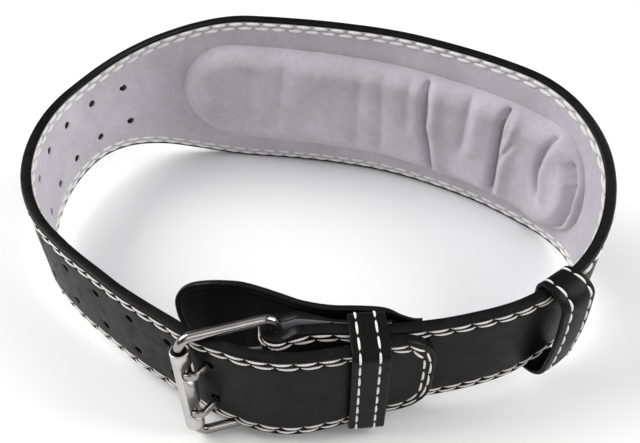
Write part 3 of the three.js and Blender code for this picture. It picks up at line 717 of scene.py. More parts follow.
def section_frame(origin, first, second, grow=(1.0, 1.0)):
    """The frame of a swept section: its plane's two axes and its place."""
    first = Vector(first)
    second = Vector(second)
    made = Matrix((first * grow[0], second * grow[1], first.cross(second))).transposed().to_4x4()
    made.translation = Vector(origin)
    return made


def sweep(bm, section, frames, closed=False):
    """Carry a flat section from frame to frame, and close its ends."""
    verts = [bm.verts.new((x, y, 0.0)) for x, y in section]
    edges = [bm.edges.new((verts[i - 1], verts[i])) for i in range(len(verts))]
    bmesh.ops.transform(bm, matrix=frames[0], verts=verts)
    start = edges
    for before, after in zip(frames, frames[1:]):
        made = bmesh.ops.extrude_edge_only(bm, edges=edges)["geom"]
        verts = [item for item in made if isinstance(item, bmesh.types.BMVert)]
        edges = [item for item in made if isinstance(item, bmesh.types.BMEdge)]
        bmesh.ops.transform(bm, matrix=after @ before.inverted(), verts=verts)
    if closed:
        bmesh.ops.bridge_loops(bm, edges=start + edges)
    else:
        bmesh.ops.contextual_create(bm, geom=start)
        bmesh.ops.contextual_create(bm, geom=edges)


def round_section(radius, sides):
    return [(radius * math.cos(2 * math.pi * side / sides),
             radius * math.sin(2 * math.pi * side / sides)) for side in range(sides)]


def bar_section(width, thickness, corner, steps=3):
    """A rectangle with rounded corners."""
    points = []
    for index, (side, rise) in enumerate([(1, 1), (-1, 1), (-1, -1), (1, -1)]):
        centre = (side * (width / 2 - corner), rise * (thickness / 2 - corner))
        for step in range(steps + 1):
            turn = math.pi / 2 * (index + step / steps)
            points.append((centre[0] + corner * math.cos(turn),
                           centre[1] + corner * math.sin(turn)))
    return points


# Strap and lining

# How far the stitches draw the leather in, and over what width: the channel under each row, the
# pucker between two stitches, and the swelling beside it

CHANNEL_DEPTH = 0.26
CHANNEL_SPREAD = 0.75
PUCKER_DEPTH = 0.85
PUCKER_SPREAD = 0.95
SWELL_RISE = 0.22
SWELL_SPREAD = 2.6
HOLE_DISH = 0.28
HOLE_DISH_SPREAD = 1.3

STRAP_INSETS = [0.0, 1.3, 1.8, 2.3, 2.8, 3.4, 4.0, 4.6, 5.2, 5.7, 6.2, 7.0, 9.0, 11.6, 13.2,
                14.8, 16.4]
LINING_INSET = 1.3


def strap_inset(flat):
    """How far a flat point of the strap is from its edge."""
    return edge_distance(STRAP_END - flat.x, half_height(flat.x) - abs(flat.y), TONGUE_CORNER)


def stitch_facts():
    made = sizes()
    return made.first_row / MM, made.second_row / MM, made.stitch_pitch / MM


def sewn_relief(along, inset, lag, depth=1.0):
    """How deep the stitches pull the leather in: a channel for each row, and a pucker between."""
    first, second, pitch = stitch_facts()
    if inset > second + 3:
        return 0.0
    channel = CHANNEL_DEPTH * (hump(inset - first, CHANNEL_SPREAD)
                               + hump(inset - second, CHANNEL_SPREAD))
    step = (along / pitch - lag * (inset - first) / (second - first)) % 1.0
    off = min(step, 1 - step) * pitch
    band = hump(inset - (first + second) / 2, (second - first) * 0.62)
    pucker = PUCKER_DEPTH * hump(off, PUCKER_SPREAD)
    swell = SWELL_RISE * (1 - hump(off, SWELL_SPREAD))
    return depth * (channel + band * (pucker - swell))


def hole_places():
    for pair in range(HOLE_PAIRS + 1):
        for side in (1, -1):
            yield PRONG_CROSSING - pair * HOLE_PITCH, side * HOLE_HEIGHT


def near_hole(flat):
    """1 at a hole's rim, and less away from it."""
    pair = min(max(round((PRONG_CROSSING - flat.x) / HOLE_PITCH), 0), HOLE_PAIRS)
    off = math.hypot(flat.x - PRONG_CROSSING + pair * HOLE_PITCH, abs(flat.y) - HOLE_HEIGHT)
    return hump(max(off - HOLE_DIAMETER / 2, 0), HOLE_DISH_SPREAD)


def hole_punches():
    """Closed cylinders where the holes are, and the prongs' own way through."""
    bm = bmesh.new()
    for along, height in hole_places():
        right = strap.frame_at(along)[2:]
        turn = Vector((0, 0, 1)).rotation_difference(Vector((*right, 0))).to_matrix().to_4x4()
        place = Matrix.Translation(on_strap((along, height, 0.0))) @ turn
        bmesh.ops.create_cone(bm, cap_ends=True, segments=24, radius1=HOLE_DIAMETER / 2,
                              radius2=HOLE_DIAMETER / 2, depth=LEATHER * 2.4, matrix=place)
    return bm


def prong_slots():
    bm = bmesh.new()
    for side in (1, -1):
        prong_shape(bm, side * HOLE_HEIGHT, PRONG_CLEARANCE)
    move_all(bm, buckle_frame())
    return bm


def make_strap():
    _, _, pitch = stitch_facts()
    step = pitch / 8
    tip = [STRAP_END - inset for inset in STRAP_INSETS]
    body = [index * step for index in range(int((STRAP_END - STRAP_INSETS[-1]) / step))]
    marks = merged_marks(body + [LINING_START] + tip, 0.3)
    bm = flat_sheet(marks, half_height, STRAP_INSETS, 3, stop_corner=TONGUE_CORNER)
    thicken(bm, half_thickness, lambda along: -half_thickness(along))
    round_rim(bm, sizes().edge_round / MM)
    lined = [face for face in bm.faces if face.normal.z < -0.9 and all(
        strap_inset(vert.co) > LINING_INSET - 0.02 and vert.co.x > LINING_START - 0.5
        for vert in face.verts)]
    made = bmesh.ops.extrude_face_region(bm, geom=lined)["geom"]
    sunk = [item for item in made if isinstance(item, bmesh.types.BMVert)]
    bmesh.ops.delete(bm, geom=[face for face in lined if face.is_valid], context="FACES_ONLY")
    bmesh.ops.translate(bm, vec=(0, 0, LINING_THICKNESS), verts=sunk)
    bm.normal_update()
    for face in bm.faces:
        if abs(face.normal.z) < 0.96:
            face.material_index = 1
        elif face.normal.z < 0 and face.calc_center_median().x < LINING_START:
            face.material_index = 2
    for vert in bm.verts:
        if vert.co.z > 0:
            inset = strap_inset(vert.co)
            vert.co.z -= sewn_relief(vert.co.x, inset, 0.25)
            vert.co.z -= HOLE_DISH * near_hole(vert.co)
            vert.co.z += 0.10 * noise.noise(Vector((vert.co.x / 17, vert.co.y / 13, 2.0)))
    place_verts(bm, on_strap)
    piece = finished("strap_leather", bm, ["leather_black", "edge_paint", "flesh_side"],
                     replaces="belt_leather")
    cut_away(piece, hole_punches())
    cut_away(piece, prong_slots())


def lining_half(along):
    return half_height(along) - LINING_INSET - 0.08


def lining_inset(flat):
    from_end = STRAP_END - LINING_INSET - flat.x
    return edge_distance(from_end, lining_half(flat.x) - abs(flat.y),
                         TONGUE_CORNER - LINING_INSET) + LINING_INSET


def make_lining():
    _, _, pitch = stitch_facts()
    step = pitch / 6
    insets = [inset - LINING_INSET for inset in STRAP_INSETS[1:12]]
    stop = STRAP_END - LINING_INSET
    tip = [stop - inset for inset in insets]
    first_step = int(LINING_START / step) + 1
    body = [index * step for index in range(first_step, int((stop - insets[-1]) / step))]
    marks = merged_marks([LINING_START + 0.15] + body + tip, 0.3)
    bm = flat_sheet(marks, lining_half, insets, 9, stop_corner=TONGUE_CORNER - LINING_INSET)
    thicken(bm, lambda along: LINING_THICKNESS - HALF_LEATHER - 0.03, lambda along: -HALF_LEATHER)
    round_rim(bm, 0.35, 2)
    for vert in bm.verts:
        if vert.co.z < -HALF_LEATHER + 0.4:
            inset = lining_inset(vert.co)
            vert.co.z += sewn_relief(vert.co.x, inset - 0.3, 0.5, 0.7)
            waves = noise.noise(Vector((vert.co.x / 11, vert.co.y / 19, 7.0)))
            vert.co.z -= 0.16 * waves * ease((inset - 1.3) / 4)
    place_verts(bm, on_strap)
    piece = finished("lining_suede", bm, ["lining_suede"], replaces="suede_lining")
    cut_away(piece, hole_punches())
    cut_away(piece, prong_slots())


# Stitching

# The two rows of threads on each face: how far each row is shifted, as a share of the pitch, how
# much of the pitch a thread spans, and in millimetres how far it bows sideways and stands up

OUTSIDE = {"shifts": (0.0, 0.25), "bow": 0.05, "fill": 0.9, "lift": 0.7}
INSIDE = {"shifts": (0.0, 0.5), "bow": 0.0, "fill": 0.8, "lift": 0.45}
OUTSIDE_SINK = 0.2
INSIDE_SINK = -0.05
INSIDE_SET_IN = 0.3
INSIDE_WIDER = 1.7
THREAD_STRAY = 0.16
FIRST_STITCH = 5.0
KEEPER_THREAD = {"bow": 0.0, "fill": 0.88, "lift": 0.55}
KEEPER_THREAD_SINK = 0.12
KEEPER_PITCH = 7.8

class Sewing:
    """Many copies of one stitch, each laid on its own surface."""

    def __init__(self, grown=1.0):
        self.width = grown * sizes().thread_width / MM
        self.bm = bmesh.new()
        uv = self.bm.loops.layers.uv.new("length")
        bmesh.ops.create_cone(self.bm, cap_ends=True, segments=6, radius1=0.5, radius2=0.5,
                              depth=1.0)
        long_edges = [edge for edge in self.bm.edges
                      if abs(edge.verts[0].co.z - edge.verts[1].co.z) > 0.5]
        bmesh.ops.subdivide_edges(self.bm, edges=long_edges, cuts=5)
        for face in self.bm.faces:
            for loop in face.loops:
                spot = loop.vert.co
                loop[uv].uv = ((spot.z + 0.5) * 0.0096, spot.y * 0.0012)
        self.template = self.bm.verts[:] + self.bm.edges[:] + self.bm.faces[:]
        self.shape = [(vert, vert.co.z + 0.5, vert.co.x, vert.co.y) for vert in self.bm.verts]

    def lay(self, start, stop, place, level, side=1, bow=0.0, fill=0.87, lift=0.6):
        """Lay one stitch from start to stop, bowed sideways, on the side that faces out."""
        copy = bmesh.ops.duplicate(self.bm, geom=self.template)["vert_map"]
        run = Vector(stop) - Vector(start)
        across = Vector((-run.y, run.x)).normalized()
        for vert, share, wide, tall in self.shape:
            arch = math.sin(math.pi * share)
            body = 0.45 + 0.55 * math.sqrt(arch) if arch > 0 else 0.45
            spot = Vector(start) + run * (0.5 + (share - 0.5) * fill)
            spot += across * (wide * self.width * body * 1.2 + bow * arch)
            rise = level + side * (tall * self.width * body * 0.85 - 0.35 + lift * arch ** 0.6)
            copy[vert].co = place((spot.x, spot.y, rise))

    def done(self, name):
        bmesh.ops.delete(self.bm, geom=[item[0] for item in self.shape], context="VERTS")
        face_outwards(self.bm)
        finished(name, self.bm, ["thread"], sharp=70)


def tip_path(start, inset):
    """The line round the tongue's tip, at one distance from its edge."""
    half = STRAP_WIDTH / 2
    centre = (STRAP_END - TONGUE_CORNER, half - TONGUE_CORNER)
    radius = TONGUE_CORNER - inset
    points = [(start, half - inset)]
    for step in range(13):
        turn = math.pi / 2 * (1 - step / 12)
        points.append((centre[0] + radius * math.cos(turn), centre[1] + radius * math.sin(turn)))
    points += [(x, -y) for x, y in reversed(points)]
    return Route(points)


def sew_edges(sewing, start, place, level_at, side, insets, shifts, bow, fill, lift):
    """Two rows of stitches along both edges of the strap and round its tip."""
    _, _, pitch = stitch_facts()
    for inset, shift in zip(insets, shifts):
        count = int((STRAP_END - TONGUE_CORNER - start) / pitch)
        first = math.ceil(start / pitch)
        for rim in (1, -1):
            for index in range(first, first + count - 1):
                along = (index + shift) * pitch
                ends = []
                for mark in (along, along + pitch):
                    stray = THREAD_STRAY * noise.noise(Vector((mark * 0.7, inset * 3, rim * 5.0)))
                    ends.append((mark, rim * (half_height(mark) - inset + stray)))
                sewing.lay(ends[0], ends[1], place, level_at(along + pitch / 2), side,
                           bow * rim, fill, lift)
        last = (first + count - 1 + shift) * pitch
        path = tip_path(last, inset)
        steps = round(path.length / pitch)
        spots = [path.spot(path.length * step / steps) for step in range(steps + 1)]
        for before, after in zip(spots, spots[1:]):
            sewing.lay(before, after, place, level_at(STRAP_END), side, bow, fill, lift)


def make_stitches():
    first, second, _ = stitch_facts()
    outside = Sewing()
    sew_edges(outside, FIRST_STITCH, on_strap,
              lambda along: half_thickness(along) - OUTSIDE_SINK, 1, (first, second), **OUTSIDE)
    outside.done("strap_stitches")
    inside = Sewing(INSIDE_WIDER)
    sew_edges(inside, LINING_START + 2, on_strap, lambda along: INSIDE_SINK - HALF_LEATHER, -1,
              (first + INSIDE_SET_IN, second + INSIDE_SET_IN), **INSIDE)
    inside.done("lining_stitches")


# Lumbar pad

PAD_HALF_LENGTH = 129.5
PAD_HALF_HEIGHT = 33.5
PAD_MIDDLE = BACK_MIDDLE - 7.3
PAD_DROP = 2.8
PAD_LIFT = 4.6
PAD_CROWN = 11.0
PAD_RIM = 0.25
PAD_INTO_LINING = 0.15
VALLEY_DEPTH = 1.9
VALLEY_WIDTH = 1.3
RIDGE_RISE = 1.5
RIDGE_AWAY = 2.9
RIDGE_WIDTH = 2.8
PAD_STEP = 0.93

# Each fold: its line from the top down as shares of the pad's half length and half height, how
# deep its valley is, the valley's half width, and how high the ridge on its right stands

PAD_FOLDS = [
    ([(0.142, 1.0), (0.146, 0.6), (0.152, 0.06), (0.178, -0.35), (0.212, -0.95)], 3.3, 1.9, 1.7),
    ([(0.345, 1.0), (0.341, 0.5), (0.339, 0.1), (0.332, -0.25)], 1.5, 2.2, 1.0),
    ([(0.520, 1.0), (0.503, 0.62), (0.505, 0.19), (0.514, -0.27), (0.522, -0.85)], 3.7, 1.9, 1.9),
    ([(0.548, 0.95), (0.545, 0.62), (0.536, 0.36)], 1.3, 1.2, 0.5),
    ([(0.585, 0.5), (0.556, 0.2), (0.530, -0.05)], 1.1, 1.2, 0.5),
    ([(0.775, 0.95), (0.745, 0.6), (0.733, 0.25), (0.748, -0.05), (0.775, -0.35)], 2.2, 1.8, 1.1),
    ([(0.88, 0.75), (0.94, 0.42), (0.962, -0.05), (0.93, -0.5), (0.87, -0.85)], 3.2, 2.4, 0.8),
    ([(0.065, 0.98), (0.062, 0.46), (0.074, -0.2)], 0.7, 3.0, 0.5),
    ([(-0.07, 0.9), (-0.055, 0.1), (-0.05, -0.8)], 0.8, 3.4, 0.5),
    ([(-0.163, 0.85), (-0.171, -0.1), (-0.171, -0.8)], 0.6, 3.0, 0.4),
    ([(-0.52, 0.8), (-0.549, 0.06), (-0.565, -0.7)], 0.8, 3.2, 0.5),
    ([(-0.67, 0.7), (-0.688, -0.5)], 0.6, 3.0, 0.3),
]


def pad_inset(flat):
    from_end = PAD_HALF_LENGTH - abs(flat.x - PAD_MIDDLE)
    return edge_distance(from_end, PAD_HALF_HEIGHT - abs(flat.y), PAD_HALF_HEIGHT)


def fold_press(spot, line, valley, width, ridge):
    """How far one fold pushes the pad's face in (or, on its ridge, out) at a flat point."""
    best = None
    travelled = 0.0
    for before, after in zip(line, line[1:]):
        run = after - before
        share = min(max((spot - before).dot(run) / run.length_squared, 0.0), 1.0)
        off = spot - (before + run * share)
        if best is None or off.length < best[0]:
            side = math.copysign(1.0, run.x * off.y - run.y * off.x)
            best = (off.length, side, travelled + run.length * share)
        travelled += run.length
    distance, side, at = best
    fade = ease((travelled - at) / 9 + 0.25) * ease(at / 6 + 0.35)
    press = VALLEY_DEPTH * valley * math.exp(-(distance / (VALLEY_WIDTH * width)) ** 1.4)
    lifted = RIDGE_RISE * ridge * hump(side * distance - RIDGE_AWAY * width,
                                       RIDGE_WIDTH * width)
    return fade * (press - lifted)


def make_pad():
    steps = [index * PAD_STEP for index in range(int(PAD_HALF_HEIGHT / PAD_STEP))]
    start = PAD_MIDDLE - PAD_HALF_LENGTH
    stop = PAD_MIDDLE + PAD_HALF_LENGTH
    marks = [start + step for step in steps]
    marks += even_marks(start + PAD_HALF_HEIGHT, stop - PAD_HALF_HEIGHT, PAD_STEP)
    marks += [stop - step for step in reversed(steps)]
    bm = flat_sheet(marks, lambda along: PAD_HALF_HEIGHT, steps, 1,
                    start_corner=PAD_HALF_HEIGHT, stop_corner=PAD_HALF_HEIGHT)
    base = PAD_INTO_LINING - HALF_LEATHER
    thicken(bm, lambda along: base, lambda along: base - 1.0)
    scale = Vector((PAD_HALF_LENGTH, PAD_HALF_HEIGHT))
    folds = [([Vector((x * scale.x, y * scale.y)) for x, y in line], valley, width, ridge)
             for line, valley, width, ridge in PAD_FOLDS]
    full = sizes().pad_thickness / MM
    for vert in bm.verts:
        if vert.co.z > base - 0.5:
            continue
        inset = pad_inset(vert.co)
        crown = math.sin(math.pi / 2 * min(max(inset / PAD_CROWN, 0.0), 1.0)) ** 0.7
        spot = Vector((PAD_MIDDLE - vert.co.x, vert.co.y))
        press = sum(fold_press(spot, *fold) for fold in folds) * ease(inset / 5)
        swell = 1.0 * noise.noise(Vector((spot.x / 24, spot.y / 20, 1.0)))
        swell += 0.3 * noise.noise(Vector((spot.x / 8, spot.y / 9, 4.0)))
        tug = 0.3 * noise.noise(Vector((spot.x / 4.2, 9.0, 0.0))) * math.exp(-inset / 6)
        rise = blend(PAD_RIM, full, crown) + (swell + tug) * ease(inset / 4) - press
        vert.co.z = base - max(rise, PAD_RIM)
    for vert in bm.verts:
        share = (PAD_MIDDLE - vert.co.x) / PAD_HALF_LENGTH
        vert.co.y += PAD_LIFT * max((0.4 - share) / 1.4, 0.0) ** 1.2 - PAD_DROP
    place_verts(bm, on_strap)
    piece = finished("lumbar_cushion", bm, ["pad_suede"], replaces="lumbar_pad", sharp=80)


# Guard flap


def make_guard():
    length = guard_route.length
    line = sizes().guard_line / MM
    insets = [0.0, 1.1, 1.8, line - 0.5, line, line + 0.5, line + 1.3, 6.5, 9.5]
    marks = merged_marks([*insets, *even_marks(insets[-1], length, 1.5)], 0.2)
    bm = flat_sheet(marks, lambda along: GUARD_HALF, insets, 8, start_corner=GUARD_CORNER)
    skive_from = length - KEEPER_LENGTH * 1.3

    def half_at(along):
        return GUARD_THICKNESS / 2 * blend(1, GUARD_SKIVE, ease((along - skive_from) / 14.4))

    thicken(bm, half_at, lambda along: -half_at(along))
    round_rim(bm, 0.75)
    for face in bm.faces:
        if abs(face.normal.z) < 0.96:
            face.material_index = 1
    for vert in bm.verts:
        inset = edge_distance(vert.co.x, GUARD_HALF - abs(vert.co.y), GUARD_CORNER)
        side = math.copysign(1.0, vert.co.z)
        press = 0.3 * hump(inset - line, 0.45) + 0.1 * ease(1 - inset / line)
        wave = 0.25 * noise.noise(Vector((vert.co.x / 21, vert.co.y / 17, 3.0)))
        vert.co.z -= side * press - wave
    place_verts(bm, on_guard)
    finished("guard_flap", bm, ["guard_leather", "edge_paint"],
             replaces="buckle_guard")


# Keepers


def loop_route(near, far, front_corner, bulge):
    """The outer line of a keeper's section, in outwards and height, round to its start."""
    rear_corner = KEEPER_WALL * 1.9
    left = near - KEEPER_WALL
    right = far + KEEPER_WALL
    half = KEEPER_HALF + KEEPER_WALL
    points = [(left, half - rear_corner), (left, 0.0), (left, rear_corner - half)]
    corners = [(left, -half, math.pi), (right, -half, -math.pi / 2), (right, half, 0.0),
               (left, half, math.pi / 2)]
    for x, y, start in corners:
        corner = front_corner if x == right else rear_corner
        centre = (x + math.copysign(corner, -1 if x == right else 1),
                  y - math.copysign(corner, y))
        for step in range(9):
            turn = start + math.pi / 2 * step / 8
            points.append((centre[0] + corner * math.cos(turn),
                           centre[1] + corner * math.sin(turn)))
        if (x, y) == (right, -half):
            for step in range(1, 12):
                rise = blend(corner - half, half - corner, step / 12)
                points.append((right + bulge * math.sin(math.pi * step / 12), rise))
    return Route(points)


def make_keeper(name, node, section, place, heading_at, length, seams):
    """A leather loop: its outer face laid round the section, given its wall, edges rounded."""
    steps = even_marks(0.0, section.length, 1.6)
    grooves = [seam + off for seam in seams for off in (-1.0, -0.5, 0.0, 0.5, 1.0)]
    rows = merged_marks([*grooves, *even_marks(-length / 2, length / 2, 1.5)], 0.35)
    bm = bmesh.new()
    bmesh.ops.create_grid(bm, x_segments=len(steps) - 1, y_segments=len(rows) - 1, size=0.5)
    for vert in bm.verts:
        at = steps[round((vert.co.x + 0.5) * (len(steps) - 1))]
        row = rows[round((vert.co.y + 0.5) * (len(rows) - 1))]
        press = 0.3 * sum(hump(row - seam, 0.6) for seam in seams) - 0.18 * hump(row, 4.5)
        vert.co = place(section, (at, row, -press))
    bmesh.ops.remove_doubles(bm, verts=bm.verts[:], dist=0.02)
    bmesh.ops.reverse_faces(bm, faces=bm.faces[:])
    bm.normal_update()
    bmesh.ops.solidify(bm, geom=bm.faces[:], thickness=KEEPER_WALL)
    bm.normal_update()
    edges = [edge for edge in bm.edges if len(edge.link_faces) == 2
             and edge.calc_face_angle() > 1.0]
    bmesh.ops.bevel(bm, geom=edges, offset=0.55, offset_type="OFFSET", segments=3, profile=0.5,
                    affect="EDGES", material=-1)
    bm.normal_update()
    for face in bm.faces:
        if abs(face.normal.dot(heading_at(face.calc_center_median()))) > 0.3:
            face.material_index = 1
    finished(name, bm, ["leather_black", "edge_paint"], replaces=node)


def on_section(section, flat):
    """A keeper's flat point, as outwards and height on its section."""
    x, y, right_x, right_y = section.frame_at(flat[0])
    return x + right_x * flat[2], y + right_y * flat[2]


FIXED_ALONG = strap.nearest((KEEPER_X, front_depth(KEEPER_X)))
FIXED_SEAMS = (-4.7, 3.4)
SLIDING_LENGTH = 18.0
SLIDING_SEAMS = (-5.0, 6.2)
FIXED_NEAR = -6.218
FIXED_FAR = 13.336
SLIDING_START = strap.nearest(on_ring([SLIDING_PLACE])[0])
SLIDING_NEAR = -2.95
SLIDING_ROOM = 12.8
SLIDING_SKEW = 1.5


def on_fixed_keeper(section, flat):
    out, height = on_section(section, flat)
    x, y, right_x, right_y = strap.frame_at(FIXED_ALONG)
    return Vector((x + right_x * out - right_y * flat[1],
                   y + right_y * out + right_x * flat[1], MID + height))


def on_sliding_keeper(section, flat):
    out, height = on_section(section, flat)
    drift = SLIDING_SKEW * (out - SLIDING_NEAR) / SLIDING_ROOM
    along = SLIDING_START - SLIDING_LENGTH / 2 + flat[1] + drift
    return on_strap((along, height, out))


def make_keepers():
    fixed = loop_route(FIXED_NEAR, FIXED_FAR, KEEPER_WALL * 1.9, 0.35)
    x, y, right_x, right_y = strap.frame_at(FIXED_ALONG)
    make_keeper("keeper_fixed", "fixed_keeper", fixed, on_fixed_keeper,
                lambda spot: Vector((-right_y, right_x, 0)), KEEPER_LENGTH, FIXED_SEAMS)
    sliding = loop_route(SLIDING_NEAR, SLIDING_NEAR + SLIDING_ROOM, KEEPER_WALL * 4.6, 1.0)
    _, _, out_x, out_y = strap.frame_at(SLIDING_START)
    make_keeper("keeper_sliding", "sliding_keeper", sliding, on_sliding_keeper,
                lambda spot: Vector((-out_y, out_x, 0)), SLIDING_LENGTH, SLIDING_SEAMS)
    sewing = Sewing()
    for section, lay, seams in ((fixed, on_fixed_keeper, FIXED_SEAMS),
                                (sliding, on_sliding_keeper, SLIDING_SEAMS)):
        count = round(section.length / KEEPER_PITCH)
        pitch = section.length / count
        for row in seams:
            for index in range(count):
                sewing.lay((index * pitch, row), ((index + 1) * pitch, row),
                           lambda flat: lay(section, flat), -KEEPER_THREAD_SINK,
                           **KEEPER_THREAD)
    sewing.done("keeper_stitches")


# Buckle


def buckle_frame():
    """The buckle's own frame: reach, outwards and up from its heel bar."""
    reach = Vector((*to_roller, 0))
    rise = Vector((leaning[0] * math.sin(BUCKLE_LEAN), leaning[1] * math.sin(BUCKLE_LEAN),
                   math.cos(BUCKLE_LEAN)))
    made = Matrix((reach, rise.cross(reach), rise)).transposed().to_4x4()
    made.translation = Vector((heel[0], heel[1], MID))
    return made


FRAME_HALF = STRAP_WIDTH / 2 + 0.9 + WIRE_RADIUS


def make_frame():
    corner = BUCKLE_CORNER
    path = [(0.0, 0.2)]
    corners = [(corner, 1, math.pi), (BUCKLE_REACH - corner, 1, math.pi / 2),
               (BUCKLE_REACH - corner, -1, 0.0), (corner, -1, -math.pi / 2)]
    for reach, side, start in corners:
        for step in range(11):
            turn = start - math.pi / 2 * step / 10
            path.append((reach + corner * math.cos(turn),
                         side * (FRAME_HALF - corner) + corner * math.sin(turn)))
    path.append((0.0, -0.2))
    frames = [section_frame((reach, 0, rise), (0, 1, 0), (-run.y, 0, run.x))
              for (reach, rise), run in zip(path, runs_along(path))]
    bm = bmesh.new()
    sweep(bm, round_section(WIRE_RADIUS, 20), frames)
    face_outwards(bm)
    move_all(bm, buckle_frame())
    finished("buckle_wire_frame", bm, ["buckle_wire"], replaces="buckle_frame")


PRONG_ROUTE = [(3.55, 0.0), (15.0, -2.35), (26.53, -4.688), (28.9, -2.1), (30.973, 0.722),
               (34.2, 3.3), (37.6, 5.44), (41.3, 3.55)]


def prong_shape(bm, height, grown):
    """A prong: an eye round the heel bar and a flat arm, that much bigger all round."""
    section = bar_section(PRONG_WIDTH + 2 * grown, PRONG_THICKNESS + 2 * grown,
                          0.55 + grown / 2)
    ring = WIRE_RADIUS + LAY_GAP + PRONG_THICKNESS / 2
    turns = [2 * math.pi * step / 32 for step in range(32)]
    frames = [section_frame((ring * math.cos(turn), ring * math.sin(turn), height), (0, 0, 1),
                            (math.cos(turn), math.sin(turn), 0)) for turn in turns]
    sweep(bm, section, frames, closed=True)
    points = smooth_points(PRONG_ROUTE, 56)
    frames = []
    for index, (point, run) in enumerate(zip(points, runs_along(points))):
        left = len(points) - 1 - index
        grow = 1.0 if grown or left > 3 else (0.55, 0.8, 0.92, 0.98)[left]
        frames.append(section_frame((*point, height), (0, 0, 1), (run.y, -run.x, 0),
                                    (blend(1, grow, 0.6), grow)))
    sweep(bm, section, frames)
    face_outwards(bm)


def make_prongs():
    for name, side in (("prong_upper", 1), ("prong_lower", -1)):
        bm = bmesh.new()
        prong_shape(bm, side * HOLE_HEIGHT, 0.0)
        move_all(bm, buckle_frame())
        finished(f"buckle_{name}", bm, ["buckle_wire"], replaces=name,
                 sharp=50)


def make_roller():
    half = FRAME_HALF - BUCKLE_CORNER - LAY_GAP
    bm = bmesh.new()
    wall = bar_section(ROLLER_WALL, 2 * half, 0.3)
    middle = ROLLER_RADIUS - ROLLER_WALL / 2
    verts = [bm.verts.new((BUCKLE_REACH + middle + x, 0.0, y)) for x, y in wall]
    edges = [bm.edges.new((verts[i - 1], verts[i])) for i in range(len(verts))]
    bmesh.ops.spin(bm, geom=verts + edges, cent=(BUCKLE_REACH, 0, 0), axis=(0, 0, 1),
                   angle=2 * math.pi, steps=56, use_merge=True)
    face_outwards(bm)
    move_all(bm, buckle_frame())
    piece = finished("buckle_roller_tube", bm, ["roller_steel"], replaces="buckle_roller", sharp=35)
    notches = bmesh.new()
    for side in (1, -1):
        place = Matrix.Translation((37.876, 3.15, side * HOLE_HEIGHT))
        bmesh.ops.create_cone(notches, cap_ends=True, segments=40, radius1=4.2, radius2=4.2,
                              depth=6.3, matrix=place @ Matrix.Rotation(math.pi / 2, 4, "X"))
    move_all(notches, buckle_frame())
    cut_away(piece, notches)
    return piece


# Stage


# Each light: its name, its place and width in metres, and its share of the full strength

SOFT_LIGHTS = [
    ("light_left", (-1.1, 0.15, 0.9), 1.0, 1.0),
    ("light_right", (1.2, 0.0, 0.8), 1.0, 0.82),
    ("light_top", (0.0, 0.1, 1.5), 1.4, 0.18),
    ("light_front", (0.2, -1.3, 1.0), 1.2, 0.34),
]
LIT_POINT = Vector((0, 0, 0.05))


def soft_light(name, place, width, share):
    lamp = bpy.data.lights.new(name, "AREA")
    lamp.shape = "SQUARE"
    lamp.size = width
    lamp.energy = bpy.context.scene.belt_stage.soft_light * share
    thing = bpy.data.objects.new(name, lamp)
    thing.location = place
    thing.rotation_euler = (LIT_POINT - Vector(place)).to_track_quat("-Z", "Y").to_euler()
    bpy.context.scene.collection.objects.link(thing)


def make_lights():
    for light in SOFT_LIGHTS:
        soft_light(*light)


def make_floor():
    bm = bmesh.new()
    bmesh.ops.create_grid(bm, x_segments=8, y_segments=8, size=3.0)
    floor = placed("floor", bm)
    surface = Finish("floor_paper")
    colour = tuple(bpy.context.scene.belt_stage.floor)
    surface.set(
        Base_Color=surface.tint(surface.spread(surface.noise(160, 2), 0, 1),
                                shade(colour, 0.99), shade(colour, 1.01)),
        Roughness=0.75, Specular_IOR_Level=0.2)
    floor.data.materials.append(surface.material)


def make_sky():
    world = bpy.data.worlds.new("pale_room")
    world.use_nodes = True
    room = world.node_tree.nodes["Background"]
    room.inputs["Color"].default_value = (1.0, 1.0, 1.0, 1.0)
    room.inputs["Strength"].default_value = bpy.context.scene.belt_stage.sky
    bpy.context.scene.world = world


def make_camera():
    flat, high = math.cos(CAMERA_TILT), math.sin(CAMERA_TILT)
    across, deep = CAMERA_TARGET
    place = STAND @ Vector((across, deep - CAMERA_REACH * flat, CAMERA_REACH * high))
    right = STAND_TURN @ Vector((1, 0, 0))
    rise = STAND_TURN @ Vector((0, high, flat))
    turn = Matrix((right, rise, right.cross(rise))).transposed().to_4x4()
    lens = bpy.data.cameras.new("camera")
    lens.lens = bpy.context.scene.belt_stage.lens
    lens.sensor_width = 36
    lens.clip_start = 0.01
    camera = bpy.data.objects.new("camera", lens)
    camera.matrix_world = Matrix.Translation(place * MM) @ turn
    bpy.context.scene.collection.objects.link(camera)
    bpy.context.scene.camera = camera
    bpy.context.scene.view_settings.view_transform = "Standard"


# Operators, panel and registration


class MakesPieces:
    """What the operators share: each calls its own makers in turn."""

    makers = ()

    def execute(self, context):
        for make in self.makers:
            make()
        return {"FINISHED"}


class BELT_OT_strap(MakesPieces, Operator):
    """Make the leather strap with its holes and pressed stitch lines"""
    bl_idname = "belt.make_strap"
    bl_label = "Strap"
    makers = (make_strap,)


class BELT_OT_lining(MakesPieces, Operator):
    """Make the suede lining inside the strap"""
    bl_idname = "belt.make_lining"
    bl_label = "Suede Lining"
    makers = (make_lining,)


class BELT_OT_stitches(MakesPieces, Operator):
    """Sew both rows of stitches along the strap's edges, outside and inside"""
    bl_idname = "belt.make_stitches"
    bl_label = "Stitches"
    makers = (make_stitches,)


class BELT_OT_pad(MakesPieces, Operator):
    """Make the padded lumbar cushion with its folds"""
    bl_idname = "belt.make_pad"
    bl_label = "Lumbar Pad"
    makers = (make_pad,)


class BELT_OT_guard(MakesPieces, Operator):
    """Make the guard flap behind the buckle"""
    bl_idname = "belt.make_guard"
    bl_label = "Guard Flap"
    makers = (make_guard,)


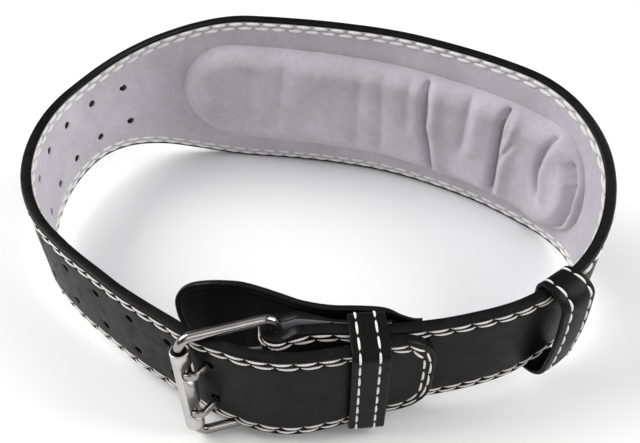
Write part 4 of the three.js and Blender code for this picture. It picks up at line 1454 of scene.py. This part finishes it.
class BELT_OT_keepers(MakesPieces, Operator):
    """Make the fixed and the sliding keeper with their stitches"""
    bl_idname = "belt.make_keepers"
    bl_label = "Keepers"
    makers = (make_keepers,)


class BELT_OT_buckle(MakesPieces, Operator):
    """Make the buckle's frame, prongs and roller"""
    bl_idname = "belt.make_buckle"
    bl_label = "Buckle"
    makers = (make_frame, make_prongs, make_roller)


class BELT_OT_stage(MakesPieces, Operator):
    """Make the pale floor, the soft lights and the camera"""
    bl_idname = "belt.make_stage"
    bl_label = "Stage"
    makers = (make_floor, make_sky, make_lights, make_camera)


class BELT_PT_panel(Panel):
    bl_label = "Weightlifting Belt"
    bl_idname = "BELT_PT_panel"
    bl_space_type = "VIEW_3D"
    bl_region_type = "UI"
    bl_category = "Belt"

    def draw(self, context):
        for group in (context.scene.belt_sizes, context.scene.belt_colours,
                      context.scene.belt_stage):
            box = self.layout.box()
            for name in group.bl_rna.properties.keys():
                if name not in ("rna_type", "name"):
                    box.prop(group, name)
        for operator in OPERATORS:
            self.layout.operator(operator.bl_idname)


GROUPS = (BeltSizes, BeltColours, StageSettings)
OPERATORS = (BELT_OT_strap, BELT_OT_lining, BELT_OT_stitches, BELT_OT_pad, BELT_OT_guard,
             BELT_OT_keepers, BELT_OT_buckle, BELT_OT_stage)


def register():
    for kind in (*GROUPS, *OPERATORS, BELT_PT_panel):
        bpy.utils.register_class(kind)
    bpy.types.Scene.belt_sizes = PointerProperty(type=BeltSizes)
    bpy.types.Scene.belt_colours = PointerProperty(type=BeltColours)
    bpy.types.Scene.belt_stage = PointerProperty(type=StageSettings)


def unregister():
    del bpy.types.Scene.belt_stage
    del bpy.types.Scene.belt_colours
    del bpy.types.Scene.belt_sizes
    for kind in reversed((*GROUPS, *OPERATORS, BELT_PT_panel)):
        bpy.utils.unregister_class(kind)


def main():
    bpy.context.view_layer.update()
    register()
    bpy.ops.belt.make_strap()
    bpy.ops.belt.make_lining()
    bpy.ops.belt.make_stitches()
    bpy.ops.belt.make_pad()
    bpy.ops.belt.make_guard()
    bpy.ops.belt.make_keepers()
    bpy.ops.belt.make_buckle()
    bpy.ops.belt.make_stage()


if __name__ == "__main__":
    main()
